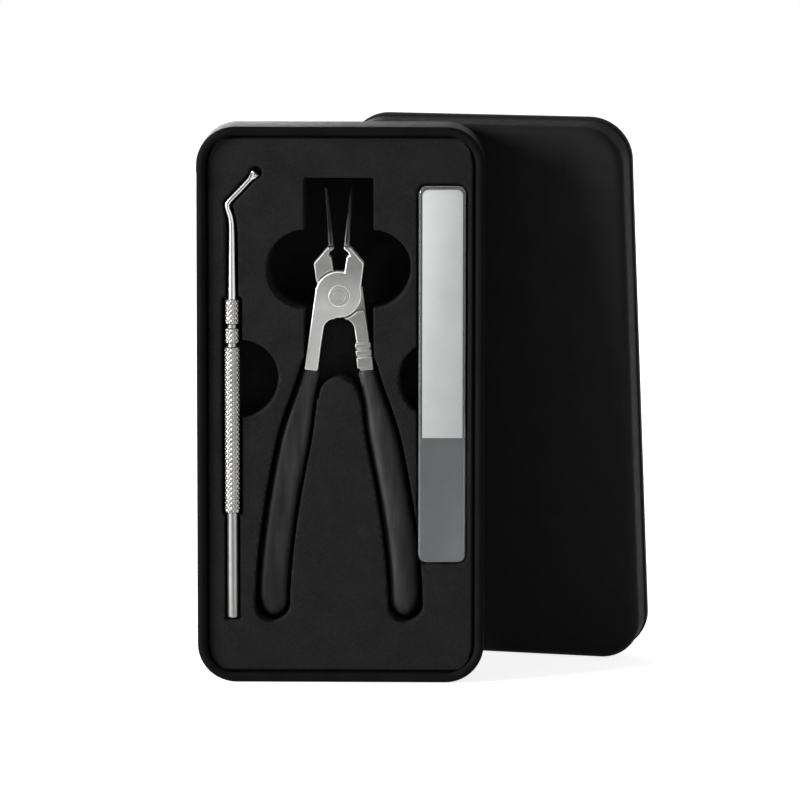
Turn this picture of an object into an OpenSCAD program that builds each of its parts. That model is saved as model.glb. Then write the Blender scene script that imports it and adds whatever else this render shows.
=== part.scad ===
// Manicure set in a slip-lid tin: nail nippers, nail lifter and glass file in a cut foam insert.
// The tin stands on its short end with the open face towards -Y, and its lid leans on its back.
// The origin is the middle of the end that the tin stands on.

/* [Tin base] */
// Outside width of the base
base_w = 92.5; // [90:0.5:104]
// Outside length of the base, which is its height as it stands
base_l = 180; // [176:1:200]
// Outside depth of the base
base_d = 26; // [25:0.5:34]
// Corner radius of the base, seen from the front
base_corner = 12.5; // [9:0.5:16]
// Thickness of the steel sheet
sheet = 0.5; // [0.3:0.05:0.7]
// Outside radius of the pressed back edges of base and lid
edge_r = 3; // [2:0.25:4]
// Width of the rolled rim round the open face
rim_w = 3; // [2:0.25:3.5]

/* [Lid] */
// Gap between the base's wall and the lid's skirt
lid_gap = 0.3; // [0.15:0.05:0.6]
// Depth of the lid
lid_d = 14; // [10:0.5:18]
// Depth of the hem that is folded outwards at the skirt's edge
hem_d = 2.5; // [1.5:0.25:4]
// How far the lid's middle stands to the right of the base's middle
lid_shift = 52; // [40:1:70]
// Turn of the lid about the vertical, right side towards the viewer
lid_yaw = 14.5; // [0:0.5:20]
// Forward lean of the lid against the base's back
lid_lean = 10; // [3:0.5:12]
// Gap at the place where the lid rests on the base's back
lean_gap = 0.3; // [0.1:0.1:1]

/* [Foam] */
// Depth of the foam's face below the rim
foam_recess = 2; // [1.6:0.1:3]
// Gap between the foam and the tin's wall
foam_gap = 0.3; // [0.2:0.05:0.6]
// Gap between a steel or glass tool and the side of its slot
slot_gap = 0.45; // [0.3:0.05:0.8]
// Gap between a tool and the floor of its slot
floor_gap = 0.3; // [0.2:0.05:0.6]
// Gap between a nipper grip and the side of its slot
grip_gap = 0.8; // [0.7:0.05:1.5]
// Radius of the finger notches beside the lifter and the file
notch_r = 12; // [9:0.5:13]
// Depth of the finger notches
notch_depth = 9; // [6:0.5:12]
// Height of the notches' middle above the tin's end
notch_z = 98.7; // [85:0.1:110]
// Distance of the lifter's notch from the lifter's axis
lifter_notch_in = 2.5; // [1:0.5:5]
// Distance of the file's notch from the file's middle
file_notch_in = 1.4; // [0:0.2:4]

/* [Head cavity] */
// Half width of the cavity round the nipper's head
cavity_half = 10.7; // [9.5:0.1:12]
// Gap above the tips of the blades
cavity_top_gap = 2; // [1:0.5:4]
// Depth of the cavity round the head
cavity_depth = 19.5; // [19:0.25:20.5]
// Radius of the round finger lobes beside the head
lobe_r = 12.1; // [9:0.1:14]
// Half length of the cavity across both lobes
lobe_half = 22.7; // [20:0.1:24]
// Height of the lobes' middle above the pivot
lobe_rise = 8.7; // [5:0.1:12]
// Half width and end radius of the foam island between the grips
island_half = 6.8; // [5:0.1:7.4]
// Distance of the island's top below the pivot
island_drop = 26; // [22:0.2:32]

/* [Nippers] */
// Sideways place of the pivot from the base's middle
pivot_x = -0.6; // [-3:0.1:3]
// Height of the pivot above the tin's end
pivot_z = 125.4; // [118:0.1:130]
// Depth of the nippers' middle plane below the foam's face
nipper_sink = 4.6; // [4:0.1:5.5]
// Thickness of one half of the lap joint
lap_t = 3.2; // [2.8:0.1:3.6]
// Running gap between the two laps
lap_gap = 0.06; // [0.04:0.01:0.15]
// Angle that each lever swings between open and closed
swing = 5.8; // [3:0.1:5.9]
// Radius of the lap disc
disc_r = 7.4; // [7:0.1:7.8]
// Gap between a lap disc and the shoulder round it
shoulder_gap = 0.6; // [0.3:0.05:0.8]
// Half of the gap between the closed blades
blade_gap = 0.05; // [0.03:0.01:0.15]
// Thickness of a blade at its neck
blade_neck_t = 1.6; // [1.2:0.1:2]
// Thickness of a blade at its tip
blade_tip_t = 0.7; // [0.5:0.1:1]
// Height of the blade tips above the pivot
blade_top = 35.6; // [34:0.2:38]
// Half width of a jaw at its widest corner
jaw_half = 6.9; // [6.4:0.1:7.4]
// Width of a shank where the grip starts
shank_w = 4.2; // [3.6:0.1:5]
// Height that the bands on the rear shank stand out
band_rise = 0.4; // [0.2:0.05:0.6]
// Length of the shank below the pivot down to the grip's mouth
shank_l = 24.8; // [23:0.2:27]
// Length of the nippers below the pivot
reach = 106; // [98:0.5:108]

/* [Pivot] */
// Radius of the rivet's shaft
rivet_r = 1.8; // [1.5:0.1:2]
// Running gap round the rivet's shaft and heads
rivet_gap = 0.04; // [0.02:0.01:0.08]
// Radius of the rivet's heads
rivet_head_r = 3.1; // [2.8:0.1:3.6]
// Depth of the sunk rivet heads
rivet_head_t = 0.9; // [0.6:0.1:1.2]
// Height that the rivet heads stand out
rivet_proud = 0.2; // [0.1:0.05:0.4]
// Wire thickness of the hidden return spring
spring_wire = 0.8; // [0.5:0.05:1]
// Mean radius of the return spring
spring_r = 3.5; // [3:0.1:4]
// Number of turns of the return spring
spring_turns = 2; // [1.5:0.25:2.25]
// Gap round the spring in its pocket
spring_gap = 0.25; // [0.15:0.05:0.4]

/* [Grips] */
// Half width of a grip at its mouth
grip_mouth = 2.9; // [2.8:0.1:3.4]
// Half width of a grip along its length
grip_half = 4.7; // [4.2:0.1:5.2]
// Half thickness of a grip, front to back
grip_thick = 4.3; // [4:0.1:4.7]
// Thickness of the steel tang inside the grip
tang_t = 4; // [3:0.25:5]
// Width of the tang's end
tang_end_w = 3; // [2:0.25:4]
// Gap between the tang and the grip's bore
tang_gap = 0.04; // [0.02:0.01:0.1]

/* [Nail lifter] */
// Distance of the lifter's axis from the nippers' pivot
lifter_space = 34.3; // [33:0.1:36]
// Height of the lifter's lower end above the tin's end
lifter_z = 20.9; // [14:0.1:24]
// Depth of the lifter's axis below the foam's face
lifter_sink = 0.9; // [0.7:0.1:2.7]
// Diameter of the handle
handle_d = 5; // [4.5:0.1:5.6]
// Diameter of the handle's two short sections above its lower groove
collar_d = 4.4; // [4:0.1:5]
// Length of the handle
handle_l = 69.3; // [60:0.5:72]
// Width of the turned grooves near the handle's top
groove_w = 1.2; // [0.8:0.1:1.6]
// Depth of the turned grooves
groove_depth = 0.7; // [0.4:0.1:0.9]
// Distances of the grooves below the handle's top
groove_drop = [8.7, 14.8];
// Diameter of the plain rod at the lower end
rod_d = 3.4; // [2.6:0.1:3.8]
// Length of the plain rod
rod_l = 34.2; // [28:0.2:36]
// Diameter of the hook's stem at the handle
stem_d = 2.7; // [2.2:0.1:3.2]
// Diameter of the hook's stem at its elbow
stem_end_d = 1.6; // [1.2:0.1:2]
// Length of the straight stem
stem_l = 21.4; // [18:0.2:23]
// Length of the arm beyond the elbow, with its scoop
arm_l = 13.4; // [11:0.2:14]
// Angle of the arm from the vertical
arm_angle = 42.5; // [30:0.5:50]
// Width of the flared scoop at the arm's end
scoop_w = 2.8; // [2.2:0.1:3.2]
// Length of the flared scoop
scoop_l = 2.7; // [2:0.1:3.5]
// Thickness of the scoop
scoop_t = 1.1; // [0.8:0.1:1.4]
// Depth of the hollow in the scoop's face
scoop_hollow = 0.4; // [0.2:0.05:0.6]
// Diameter of the pegs that sit in the handle
peg_d = 2; // [1.4:0.1:2.2]
// Length of the pegs
peg_l = 12; // [8:0.5:16]
// Gap round the pegs
peg_gap = 0.03; // [0.02:0.01:0.06]

/* [Glass file] */
// Distance of the file's middle from the nippers' pivot
file_space = 33.15; // [33:0.05:34]
// Height of the file's lower end above the tin's end
file_z = 39.2; // [30:0.1:42]
// Width of the file
file_w = 15; // [12:0.25:15.5]
// Length of the file
file_l = 121.7; // [110:0.5:125]
// Thickness of the file
file_t = 3; // [2:0.25:4]
// Corner radius of the file
file_corner = 2.6; // [1.5:0.1:4]
// Bevel along the file's edges
file_bevel = 0.5; // [0.2:0.1:0.8]

/* [Hidden] */
$fn = 72;
cut = 0.5;                                  // how far a cut runs past the face that it opens
front_y = -base_d / 2;                      // the rim's highest line
foam_y = front_y + foam_recess;             // the foam's face
back_y = base_d / 2 - sheet;                // inside of the base's back
foam_back_y = base_d / 2 - edge_r;          // the foam ends where the pressed edge starts
inner_half = base_w / 2 - sheet - foam_gap; // half width of the foam
foam_corner = base_corner - sheet - foam_gap;
nipper_y = foam_y + nipper_sink;            // middle plane of the nippers
lifter_x = pivot_x - lifter_space;
lifter_y = foam_y + lifter_sink;
file_x = pivot_x + file_space;
handle_z = lifter_z + rod_l;                // lower end of the handle
stem_z = handle_z + handle_l;               // upper end of the handle
lid_w = base_w + 2 * (lid_gap + sheet);
lid_l = base_l + 2 * (lid_gap + sheet);
lid_corner = base_corner + lid_gap + sheet;
lap_in = lap_gap / 2;                       // inner face of a lap from the middle plane
lap_out = lap_in + lap_t;                   // outer face of a lap from the middle plane
pocket_r = spring_r + spring_wire / 2 + spring_gap;
pocket_depth = spring_wire * (spring_turns + 1) / 2 + spring_gap;
disc_shift = [-0.2, 0.4];                   // lap disc's middle from the pivot, on the handle's side
neck_z = 15.9;                              // where the blades leave the jaws, above the pivot
grip_tip = [0.17, 0.08];                    // shares of its length in the round end, outer and inner
grip_swell = 0.32;                          // share of its length over which the grip widens
slot_start = -0.08;                         // the slot starts this share above the grip's mouth
slot_end = 0.945;                           // share of the grip's length at its slot's round end
elbow = [-1.3, 9.4];                        // the elbow from the end of the straight stem
elbow_mid = [-0.3, 4.5];                    // a point of the stem's gentle bend

// Place and turn of things -------------------------------------------------------------------

// Draws a flat outline in the X-Z plane and gives it the depth from y0 (front) to y1 (back).
module slab(y0, y1) translate([0, y1, 0]) rotate([90, 0, 0]) linear_extrude(y1 - y0) children();

// A round bar along Y from y0 to y1.
module bar_y(r, y0, y1) translate([0, y1, 0]) rotate([90, 0, 0]) cylinder(r = r, h = y1 - y0);

// Puts a lever, drawn closed, to the pivot and opens it by the angle.
module open_lever(angle) translate([pivot_x, nipper_y, pivot_z]) rotate([0, angle, 0]) children();

// A round limb in the X-Z plane between two points, with a ball at its far end.
module limb(from, to, d1, d2) {
    run = to - from;
    translate([from[0], 0, from[1]]) rotate([0, atan2(run[0], run[1]), 0])
        cylinder(d1 = d1, d2 = d2, h = norm(run));
    translate([to[0], 0, to[1]]) sphere(d = d2);
}

// A rectangle with round corners, standing on z0 and centred on x.
module plate_outline(x, z0, w, l, r) {
    translate([x - w / 2 + r, z0]) square([w - 2 * r, l]);
    translate([x - w / 2, z0 + r]) square([w, l - 2 * r]);
    for (sx = [-1, 1], z = [z0 + r, z0 + l - r])
        translate([x + sx * (w / 2 - r), z]) circle(r = r);
}

// Tin ----------------------------------------------------------------------------------------

// Carries a wall profile round a rounded rectangle and closes the back with a plate. The
// profile's first axis runs outwards from the corner's middle, its second from back to front.
module pressed_tray(w, l, r, bottom) {
    side = w / 2 - r;
    low = r;
    high = l - r;
    for (corner = [[side, high, 0], [-side, high, 90], [-side, low, 180], [side, low, 270]])
        translate([corner[0], corner[1], 0]) rotate([0, 0, corner[2]])
            rotate_extrude(angle = 90) children();
    for (turn = [0, 1]) mirror([turn, 0, 0]) translate([side, high, 0])
        rotate([90, 0, 0]) linear_extrude(high - low) children();
    for (end = [[high, 0], [low, 1]]) translate([-side, end[0], 0]) mirror([0, end[1], 0])
        rotate([90, 0, 90]) linear_extrude(2 * side) children();
    translate([-side, low, 0]) cube([2 * side, high - low, bottom]);
}

// The part of a wall profile that base and lid share: flat back, pressed edge, straight wall.
module wall_profile(r, depth) {
    square([r - edge_r, sheet]);
    translate([r - edge_r, edge_r]) intersection() {
        difference() {
            circle(r = edge_r);
            circle(r = edge_r - sheet);
        }
        translate([0, -edge_r]) square(edge_r);
    }
    translate([r - sheet, edge_r]) square([sheet, depth - edge_r]);
}

// The base's wall ends in a rim that is rolled inwards over half a turn.
module base_profile() {
    roll_r = rim_w / 2;
    wall_profile(base_corner, base_d - roll_r);
    translate([base_corner - roll_r, base_d - roll_r]) difference() {
        circle(r = roll_r);
        circle(r = roll_r - sheet);
        translate([-2 * roll_r, -2 * roll_r]) square([4 * roll_r, 2 * roll_r]);
    }
}

// The lid's skirt ends in a flat hem that is folded outwards.
module lid_profile() {
    wall_profile(lid_corner, lid_d);
    translate([lid_corner, lid_d - hem_d]) square([sheet, hem_d]);
}

module tin_base() color([0.035, 0.035, 0.038])
    translate([0, base_d / 2, 0]) rotate([90, 0, 0])
        pressed_tray(base_w, base_l, base_corner, sheet) base_profile();

// How far the base reaches towards the lid's face, measured along that face's inward normal.
lid_in = [sin(lid_yaw) * cos(lid_lean), cos(lid_yaw) * cos(lid_lean), sin(lid_lean)];
base_reach = (base_w / 2 - base_corner) * lid_in[0] + (base_l - base_corner) * lid_in[2]
    + (base_corner - edge_r) * norm([lid_in[0], lid_in[2]])
    + (base_d / 2 - edge_r) * lid_in[1] + edge_r;
lid_foot = edge_r * (1 - sin(lid_lean) - cos(lid_lean)); // lowers the lid's round edge to the floor
lid_y = (base_reach + lean_gap - lid_shift * lid_in[0] - lid_foot * lid_in[2]) / lid_in[1];

// The lid stands on its short end with its hollow to the back.
module tin_lid() color([0.03, 0.03, 0.032])
    translate([lid_shift, lid_y, lid_foot]) rotate([lid_lean, 0, -lid_yaw])
        mirror([0, 1, 0]) rotate([90, 0, 0])
            pressed_tray(lid_w, lid_l, lid_corner, sheet) lid_profile();

// Nippers ------------------------------------------------------------------------------------
// A lever is drawn closed, with its pivot at the origin, its handle at the left and its jaw at
// the right. The rear lever is the same forging, turned half round and lapped behind.

// Middle line of the handle, a cubic curve from the grip's mouth to its end.
function bow(t) = let (
    p = [[-6.5, -shank_l], [-10.5, -0.48 * reach], [-13.5, -0.76 * reach], [-10.9, -reach]])
    pow(1 - t, 3) * p[0] + 3 * t * pow(1 - t, 2) * p[1] + 3 * t * t * (1 - t) * p[2] + pow(t, 3) * p[3];

// Unit vector square to the bow, pointing to its left side.
function bow_side(t) = let (
    d = bow(t + 0.01) - bow(t - 0.01))
    [d[1], -d[0]] / norm(d);

// Closed outline along the bow, through the shares ts with the half widths ws.
module bow_outline(ts, ws) {
    n = len(ts) - 1;
    polygon(concat(
        [for (i = [0 : n]) bow(ts[i]) + bow_side(ts[i]) * ws[i]],
        [for (i = [n : -1 : 0]) bow(ts[i]) - bow_side(ts[i]) * ws[i]]));
}

// Evenly spaced shares of the bow, from its start to the share t.
function shares(t, steps) = [for (i = [0 : steps]) t * i / steps];

// The jaw, from the blade's root down into the lap disc.
module jaw_outline()
    polygon([[blade_gap, neck_z - 0.6], [blade_gap, neck_z + 0.3], [blade_gap + blade_neck_t, neck_z + 0.3],
             [jaw_half, 11.2], [jaw_half - 0.2, 5.3], [jaw_half - 0.3, 1], [1, 3],
             [1, 7.6], [1.3, 12.7], [2.1, 13.3], [1.6, 14.3]]);

// The shank, from the lap disc down to the grip's mouth, with the arch's round corner.
module shank_outline(outer_top) {
    mouth = bow(0);
    polygon([[-7.6, outer_top], [-7.9, -8.2], [mouth[0] - shank_w / 2, -shank_l],
             [mouth[0] + shank_w / 2, -shank_l], [-4.2, -16], [-3.9, -11.4], [-3.9, outer_top]]);
    difference() {
        translate([-4.4, -11.4]) square([4.1, 5.4]);
        translate([0, -11.4]) circle(r = 4);
    }
}

module tang_outline(grow) {
    above = -0.03;  // the bore runs out past the grip's mouth
    ts = concat(grow > 0 ? [above] : [], shares(0.86, 8));
    start = shank_w / 2 - 0.3;
    bow_outline(ts, [for (t = ts) start + (tang_end_w / 2 - start) * t + grow]);
}

// The thin curved blade: a crescent seen from the side, and a slim wedge seen from the front.
module blade() {
    front_arc = 28;
    front_mid = 14;
    rear_arc = 24;
    rear_mid = 20.8;
    rear_start = lap_out - 0.5;
    tip_y = 12.8;
    intersection() {
        rotate([90, 0, 90]) linear_extrude(2 * blade_neck_t) intersection() {
            difference() {
                translate([front_arc - lap_out, front_mid]) circle(r = front_arc);
                translate([rear_arc + rear_start, rear_mid]) circle(r = rear_arc);
            }
            translate([-lap_out, neck_z - 0.5]) square([lap_out + tip_y, blade_top - neck_z + 0.5]);
        }
        slab(-lap_out - cut, tip_y + cut) polygon([[blade_gap, neck_z - 1],
                                       [blade_gap + blade_neck_t, neck_z - 1],
                                       [blade_gap + blade_neck_t, neck_z],
                                       [blade_gap + blade_tip_t, blade_top + 1], [blade_gap, blade_top + 1]]);
    }
}

// Middle of the other lever's disc, halfway through the swing.
other_disc = [-disc_shift[0] * cos(swing) - disc_shift[1] * sin(swing),
              disc_shift[1] * cos(swing) - disc_shift[0] * sin(swing)];

module lever() {
    difference() {
        union() {
            slab(-lap_out, -lap_in) {
                translate(disc_shift) circle(r = disc_r);
                jaw_outline();
                shank_outline(1.5);
            }
            difference() {
                slab(-lap_in - 0.01, lap_out) {
                    jaw_outline();
                    shank_outline(-5.5);
                }
                translate([other_disc[0], 0, other_disc[1]])
                    bar_y(disc_r + shoulder_gap, -lap_in, lap_out + cut);
            }
            slab(-tang_t / 2, tang_t / 2) tang_outline(0);
            blade();
        }
        bar_y(rivet_r + rivet_gap, -lap_out - cut, cut);
        bar_y(rivet_head_r + rivet_gap, -lap_out - cut, -lap_out + rivet_head_t);
        bar_y(pocket_r, -pocket_depth, cut);
    }
}

// Three low bands round the rear lever's shank, just above its grip.
module shank_bands() {
    mouth = bow(0);
    for (band = [[-17.4, 1.5], [-19.9, 1.8], [-23.9, 3.4]])
        slab(-lap_out - band_rise, lap_out + band_rise)
            translate([mouth[0] + 0.4 - shank_w / 2 - band_rise, band[0]])
                square([shank_w + 2 * band_rise, band[1]]);
}

module nipper_front_lever() color([0.72, 0.71, 0.7]) open_lever(swing) lever();

module nipper_rear_lever() color([0.66, 0.65, 0.64]) open_lever(-swing) rotate([0, 0, 180])
    union() {
        lever();
        shank_bands();
    }

// The rivet has two sunk heads, each with one plain turned ring.
module nipper_rivet() color([0.6, 0.6, 0.59]) translate([pivot_x, nipper_y, pivot_z])
    difference() {
        union() {
            bar_y(rivet_r, -lap_out, lap_out);
            for (side = [0, 1]) mirror([0, side, 0])
                bar_y(rivet_head_r, lap_out - rivet_head_t + 0.03, lap_out + rivet_proud);
        }
        for (side = [0, 1]) mirror([0, side, 0]) difference() {
            bar_y(2.05, lap_out + rivet_proud - 0.15, lap_out + rivet_proud + cut);
            bar_y(1.7, lap_out + rivet_proud - 0.15 - cut, lap_out + rivet_proud + 2 * cut);
        }
    }

// The return spring, one unbroken wire wound round the rivet in the pocket between the laps.
spring_steps = 24;
spring_sides = 8;
function spring_point(i, k) = let (
    turn = i / spring_steps,
    a = 360 * turn,
    b = 360 * k / spring_sides,
    r = spring_r + spring_wire / 2 * cos(b),
    rise = (turn - spring_turns / 2) * spring_wire * 1.15)
    [r * cos(a), rise + spring_wire / 2 * sin(b), r * sin(a)];

module nipper_spring() color([0.55, 0.55, 0.56]) translate([pivot_x, nipper_y, pivot_z]) {
    rings = spring_turns * spring_steps;
    n = spring_sides;
    polyhedron(
        points = [for (i = [0 : rings], k = [0 : n - 1]) spring_point(i, k)],
        faces = concat(
            [[for (k = [0 : n - 1]) k]],
            [for (i = [0 : rings - 1], k = [0 : n - 1])
                [i * n + k, (i + 1) * n + k, i * n + (k + 1) % n]],
            [for (i = [0 : rings - 1], k = [0 : n - 1])
                [(i + 1) * n + k, (i + 1) * n + (k + 1) % n, i * n + (k + 1) % n]],
            [[for (k = [n - 1 : -1 : 0]) rings * n + k]]));
}

// Grips --------------------------------------------------------------------------------------

// Growth of the grip from its mouth, and its round end, as shares of the full width.
function grip_wide(t) = let (u = min(1, t / grip_swell))
    grip_mouth + (grip_half - grip_mouth) * u * u * (3 - 2 * u);
function grip_deep(t) = let (u = min(1, t / grip_swell), start = lap_out + 0.25)
    start + (grip_thick - start) * u * u * (3 - 2 * u);
function grip_end(t, tip) = t < 1 - tip ? 1 : sqrt(max(0, 1 - pow((t - 1 + tip) / tip, 2)));

// A dipped grip: soft-cornered ovals carried along the bow and closed at both ends.
module grip_body() {
    rings = 30;
    sides = 24;
    ts = [for (i = [0 : rings]) let (u = i / rings) 1 - pow(1 - u, 1.5)];
    squareness = 0.8;
    pts = [for (i = [0 : rings - 1], k = [0 : sides - 1]) let (
        t = ts[i], a = 360 * k / sides, c = cos(a), s = sin(a),
        across = sign(c) * pow(abs(c), squareness) * grip_wide(t) * grip_end(t, grip_tip[c > 0 ? 0 : 1]),
        depth = sign(s) * pow(abs(s), squareness) * grip_deep(t) * grip_end(t, grip_tip[1]),
        at = bow(t) + bow_side(t) * across)
        [at[0], depth, at[1]]];
    tip = bow(1);
    last = (rings - 1) * sides;
    polyhedron(
        points = concat(pts, [[tip[0], 0, tip[1]]]),
        faces = concat(
            [[for (k = [0 : sides - 1]) k]],
            [for (i = [0 : rings - 2], k = [0 : sides - 1])
                [i * sides + k, (i + 1) * sides + k, i * sides + (k + 1) % sides]],
            [for (i = [0 : rings - 2], k = [0 : sides - 1])
                [(i + 1) * sides + k, (i + 1) * sides + (k + 1) % sides, i * sides + (k + 1) % sides]],
            [for (k = [0 : sides - 1]) [last + k, rings * sides, last + (k + 1) % sides]]));
}

module grip() difference() {
    grip_body();
    slab(-tang_t / 2 - tang_gap, tang_t / 2 + tang_gap) tang_outline(tang_gap);
    // the mouth is cut square below the shank's end
    slab(-grip_thick, grip_thick)
        translate([bow(0)[0] - grip_half, -shank_l - tang_gap]) square(2 * grip_half);
}

module nipper_left_grip() color([0.09, 0.09, 0.09]) open_lever(swing) grip();
module nipper_right_grip() color([0.09, 0.09, 0.09]) open_lever(-swing) rotate([0, 0, 180]) grip();

// Nail lifter --------------------------------------------------------------------------------

module lifter_handle() color([0.7, 0.69, 0.68]) translate([lifter_x, lifter_y, handle_z])
    rotate_extrude() difference() {
        union() {
            square([handle_d / 2, handle_l - groove_drop[1]]);
            square([collar_d / 2, handle_l]);
        }
        for (drop = groove_drop)
            translate([collar_d / 2 - groove_depth, handle_l - drop - groove_w / 2])
                square([groove_depth + handle_d, groove_w]);
        for (end = [0, handle_l]) translate([0, end == 0 ? -cut : handle_l - peg_l - 0.2])
            square([peg_d / 2 + peg_gap, peg_l + 0.2 + cut]);
    }

module lifter_rod() color([0.72, 0.72, 0.71]) translate([lifter_x, lifter_y, lifter_z]) {
    cylinder(d1 = rod_d - 0.8, d2 = rod_d, h = 0.4);
    translate([0, 0, 0.4]) cylinder(d = rod_d, h = rod_l - 0.4);
    cylinder(d = peg_d, h = rod_l + peg_l);
}

module lifter_hook() color([0.75, 0.75, 0.74]) translate([lifter_x, lifter_y, stem_z]) {
    bend = [0, stem_l];
    corner = bend + elbow;
    end = corner + arm_l * [sin(arm_angle), cos(arm_angle)];
    mid_d = (stem_d + stem_end_d) / 2;
    translate([0, 0, -peg_l]) cylinder(d = peg_d, h = peg_l + 1);
    limb([0, 0], bend, stem_d, mid_d);
    limb(bend, bend + elbow_mid, mid_d, (mid_d + stem_end_d) / 2);
    limb(bend + elbow_mid, corner, (mid_d + stem_end_d) / 2, stem_end_d);
    limb(corner, end - scoop_l / 2 * [sin(arm_angle), cos(arm_angle)], stem_end_d, scoop_t * 0.8);
    translate([end[0], 0, end[1]]) rotate([0, arm_angle, 0]) scoop();
}

// The hook's end: a thin fan with a hollowed face below its edge.
module scoop() {
    neck = stem_end_d * 0.4;
    lip = 0.7;
    hollow_r = scoop_w * 0.4;
    difference() {
        slab(-scoop_t / 2, scoop_t / 2)
            polygon([[-neck, -scoop_l], [neck, -scoop_l], [scoop_w / 2, -lip], [scoop_w / 2, 0],
                     [-scoop_w / 2, 0], [-scoop_w / 2, -lip]]);
        translate([0, -scoop_t / 2 - hollow_r + scoop_hollow, -lip - hollow_r]) sphere(r = hollow_r);
    }
}

// Glass file ---------------------------------------------------------------------------------

module glass_file() color([0.82, 0.85, 0.86, 0.9]) hull() {
    slab(foam_y, foam_y + file_t)
        plate_outline(file_x, file_z + file_bevel, file_w - 2 * file_bevel, file_l - 2 * file_bevel,
                      file_corner - file_bevel);
    slab(foam_y + file_bevel, foam_y + file_t - file_bevel)
        plate_outline(file_x, file_z, file_w, file_l, file_corner);
}

// Foam ---------------------------------------------------------------------------------------

// Slot of one grip, drawn at rest. The far end is round.
module grip_slot(angle, side) translate([pivot_x, pivot_z]) rotate(-angle) mirror([side, 0]) {
    ts = concat([slot_start], shares(slot_end, 14));
    bow_outline(ts, [for (t = ts) t < 0 ? shank_w / 2 + slot_gap : grip_wide(t) + grip_gap]);
    translate(bow(slot_end)) circle(r = grip_half + grip_gap);
}

// Channel from the head down to the island.
module channel_outline() translate([pivot_x, pivot_z - island_drop - island_half]) difference() {
    translate([-cavity_half, 0]) square([2 * cavity_half, island_drop + island_half + 4]);
    circle(r = island_half);
}

// Cavity round the head, with a finger lobe on each side.
module head_outline() translate([pivot_x, pivot_z]) {
    translate([-cavity_half, 0]) square([2 * cavity_half, blade_top + cavity_top_gap]);
    translate([-lobe_half + lobe_r, lobe_rise - lobe_r])
        square([2 * (lobe_half - lobe_r), 2 * lobe_r]);
    for (side = [-1, 1]) translate([side * (lobe_half - lobe_r), lobe_rise]) circle(r = lobe_r);
}

module lifter_slot() translate([lifter_x, lifter_z]) {
    corner = [0, rod_l + handle_l + stem_l] + elbow;
    end = corner + arm_l * [sin(arm_angle), cos(arm_angle)];
    half = stem_end_d / 2 + slot_gap + 0.3;
    translate([-rod_d / 2 - slot_gap, -slot_gap]) square([rod_d + 2 * slot_gap, rod_l + 1]);
    translate([-handle_d / 2 - slot_gap, rod_l - slot_gap])
        square([handle_d + 2 * slot_gap, handle_l + 2 * slot_gap]);
    polygon([[stem_d / 2 + slot_gap, rod_l + handle_l], [stem_d / 2 + slot_gap, corner[1] - elbow[1]],
             corner + [half, -1], corner + [-half, 0], [-stem_d / 2 - slot_gap, corner[1] - elbow[1]],
             [-stem_d / 2 - slot_gap, rod_l + handle_l]]);
    translate(corner) circle(r = half);
    translate(corner) rotate(-arm_angle) translate([-half, 0]) square([2 * half, arm_l]);
    translate(end) circle(r = scoop_w / 2 + slot_gap);
}

// Half-round finger notch at x, opening towards the side.
module notch(x, side) translate([x, notch_z]) intersection() {
    circle(r = notch_r);
    translate([side > 0 ? -lifter_notch_in : -notch_r, -notch_r])
        square([side > 0 ? notch_r + lifter_notch_in : notch_r, 2 * notch_r]);
}

module foam_insert() color([0.055, 0.055, 0.055]) difference() {
    slab(foam_y, foam_back_y)
        plate_outline(0, sheet + foam_gap, 2 * inner_half, base_l - 2 * (sheet + foam_gap), foam_corner);
    slab(foam_y - cut, foam_y + cavity_depth) head_outline();
    slab(foam_y - cut, nipper_y + grip_thick + floor_gap) {
        channel_outline();
        grip_slot(swing, 0);
        grip_slot(-swing, 1);
    }
    slab(foam_y - cut, lifter_y + handle_d / 2 + floor_gap) lifter_slot();
    slab(foam_y - cut, foam_y + file_t + floor_gap)
        plate_outline(file_x, file_z - slot_gap, file_w + 2 * slot_gap, file_l + 2 * slot_gap,
                      file_corner + slot_gap);
    slab(foam_y - cut, foam_y + notch_depth) {
        notch(lifter_x + lifter_notch_in, 1);
        notch(file_x - file_notch_in, -1);
    }
}

module foam_backing() color([0.08, 0.08, 0.08])
    slab(foam_back_y, back_y)
        plate_outline(0, edge_r, base_w - 2 * edge_r, base_l - 2 * edge_r, base_corner - edge_r);

tin_base();
tin_lid();
foam_insert();
foam_backing();
nipper_front_lever();
nipper_rear_lever();
nipper_rivet();
nipper_spring();
nipper_left_grip();
nipper_right_grip();
lifter_handle();
lifter_rod();
lifter_hook();
glass_file();
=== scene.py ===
"""Looks of a manicure set: a slip-lid tin, its cut foam, nippers, a nail lifter and a glass file.

Lengths are in millimetres until a mesh is made, where they become metres. Places come from the
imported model's boxes, so every piece follows the solid that it dresses.
"""
import logging
from dataclasses import dataclass, field
from enum import Enum
from math import cos, pi, radians, sin, tan

import bmesh
import bpy
import numpy as np
from mathutils import Matrix, Vector


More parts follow.
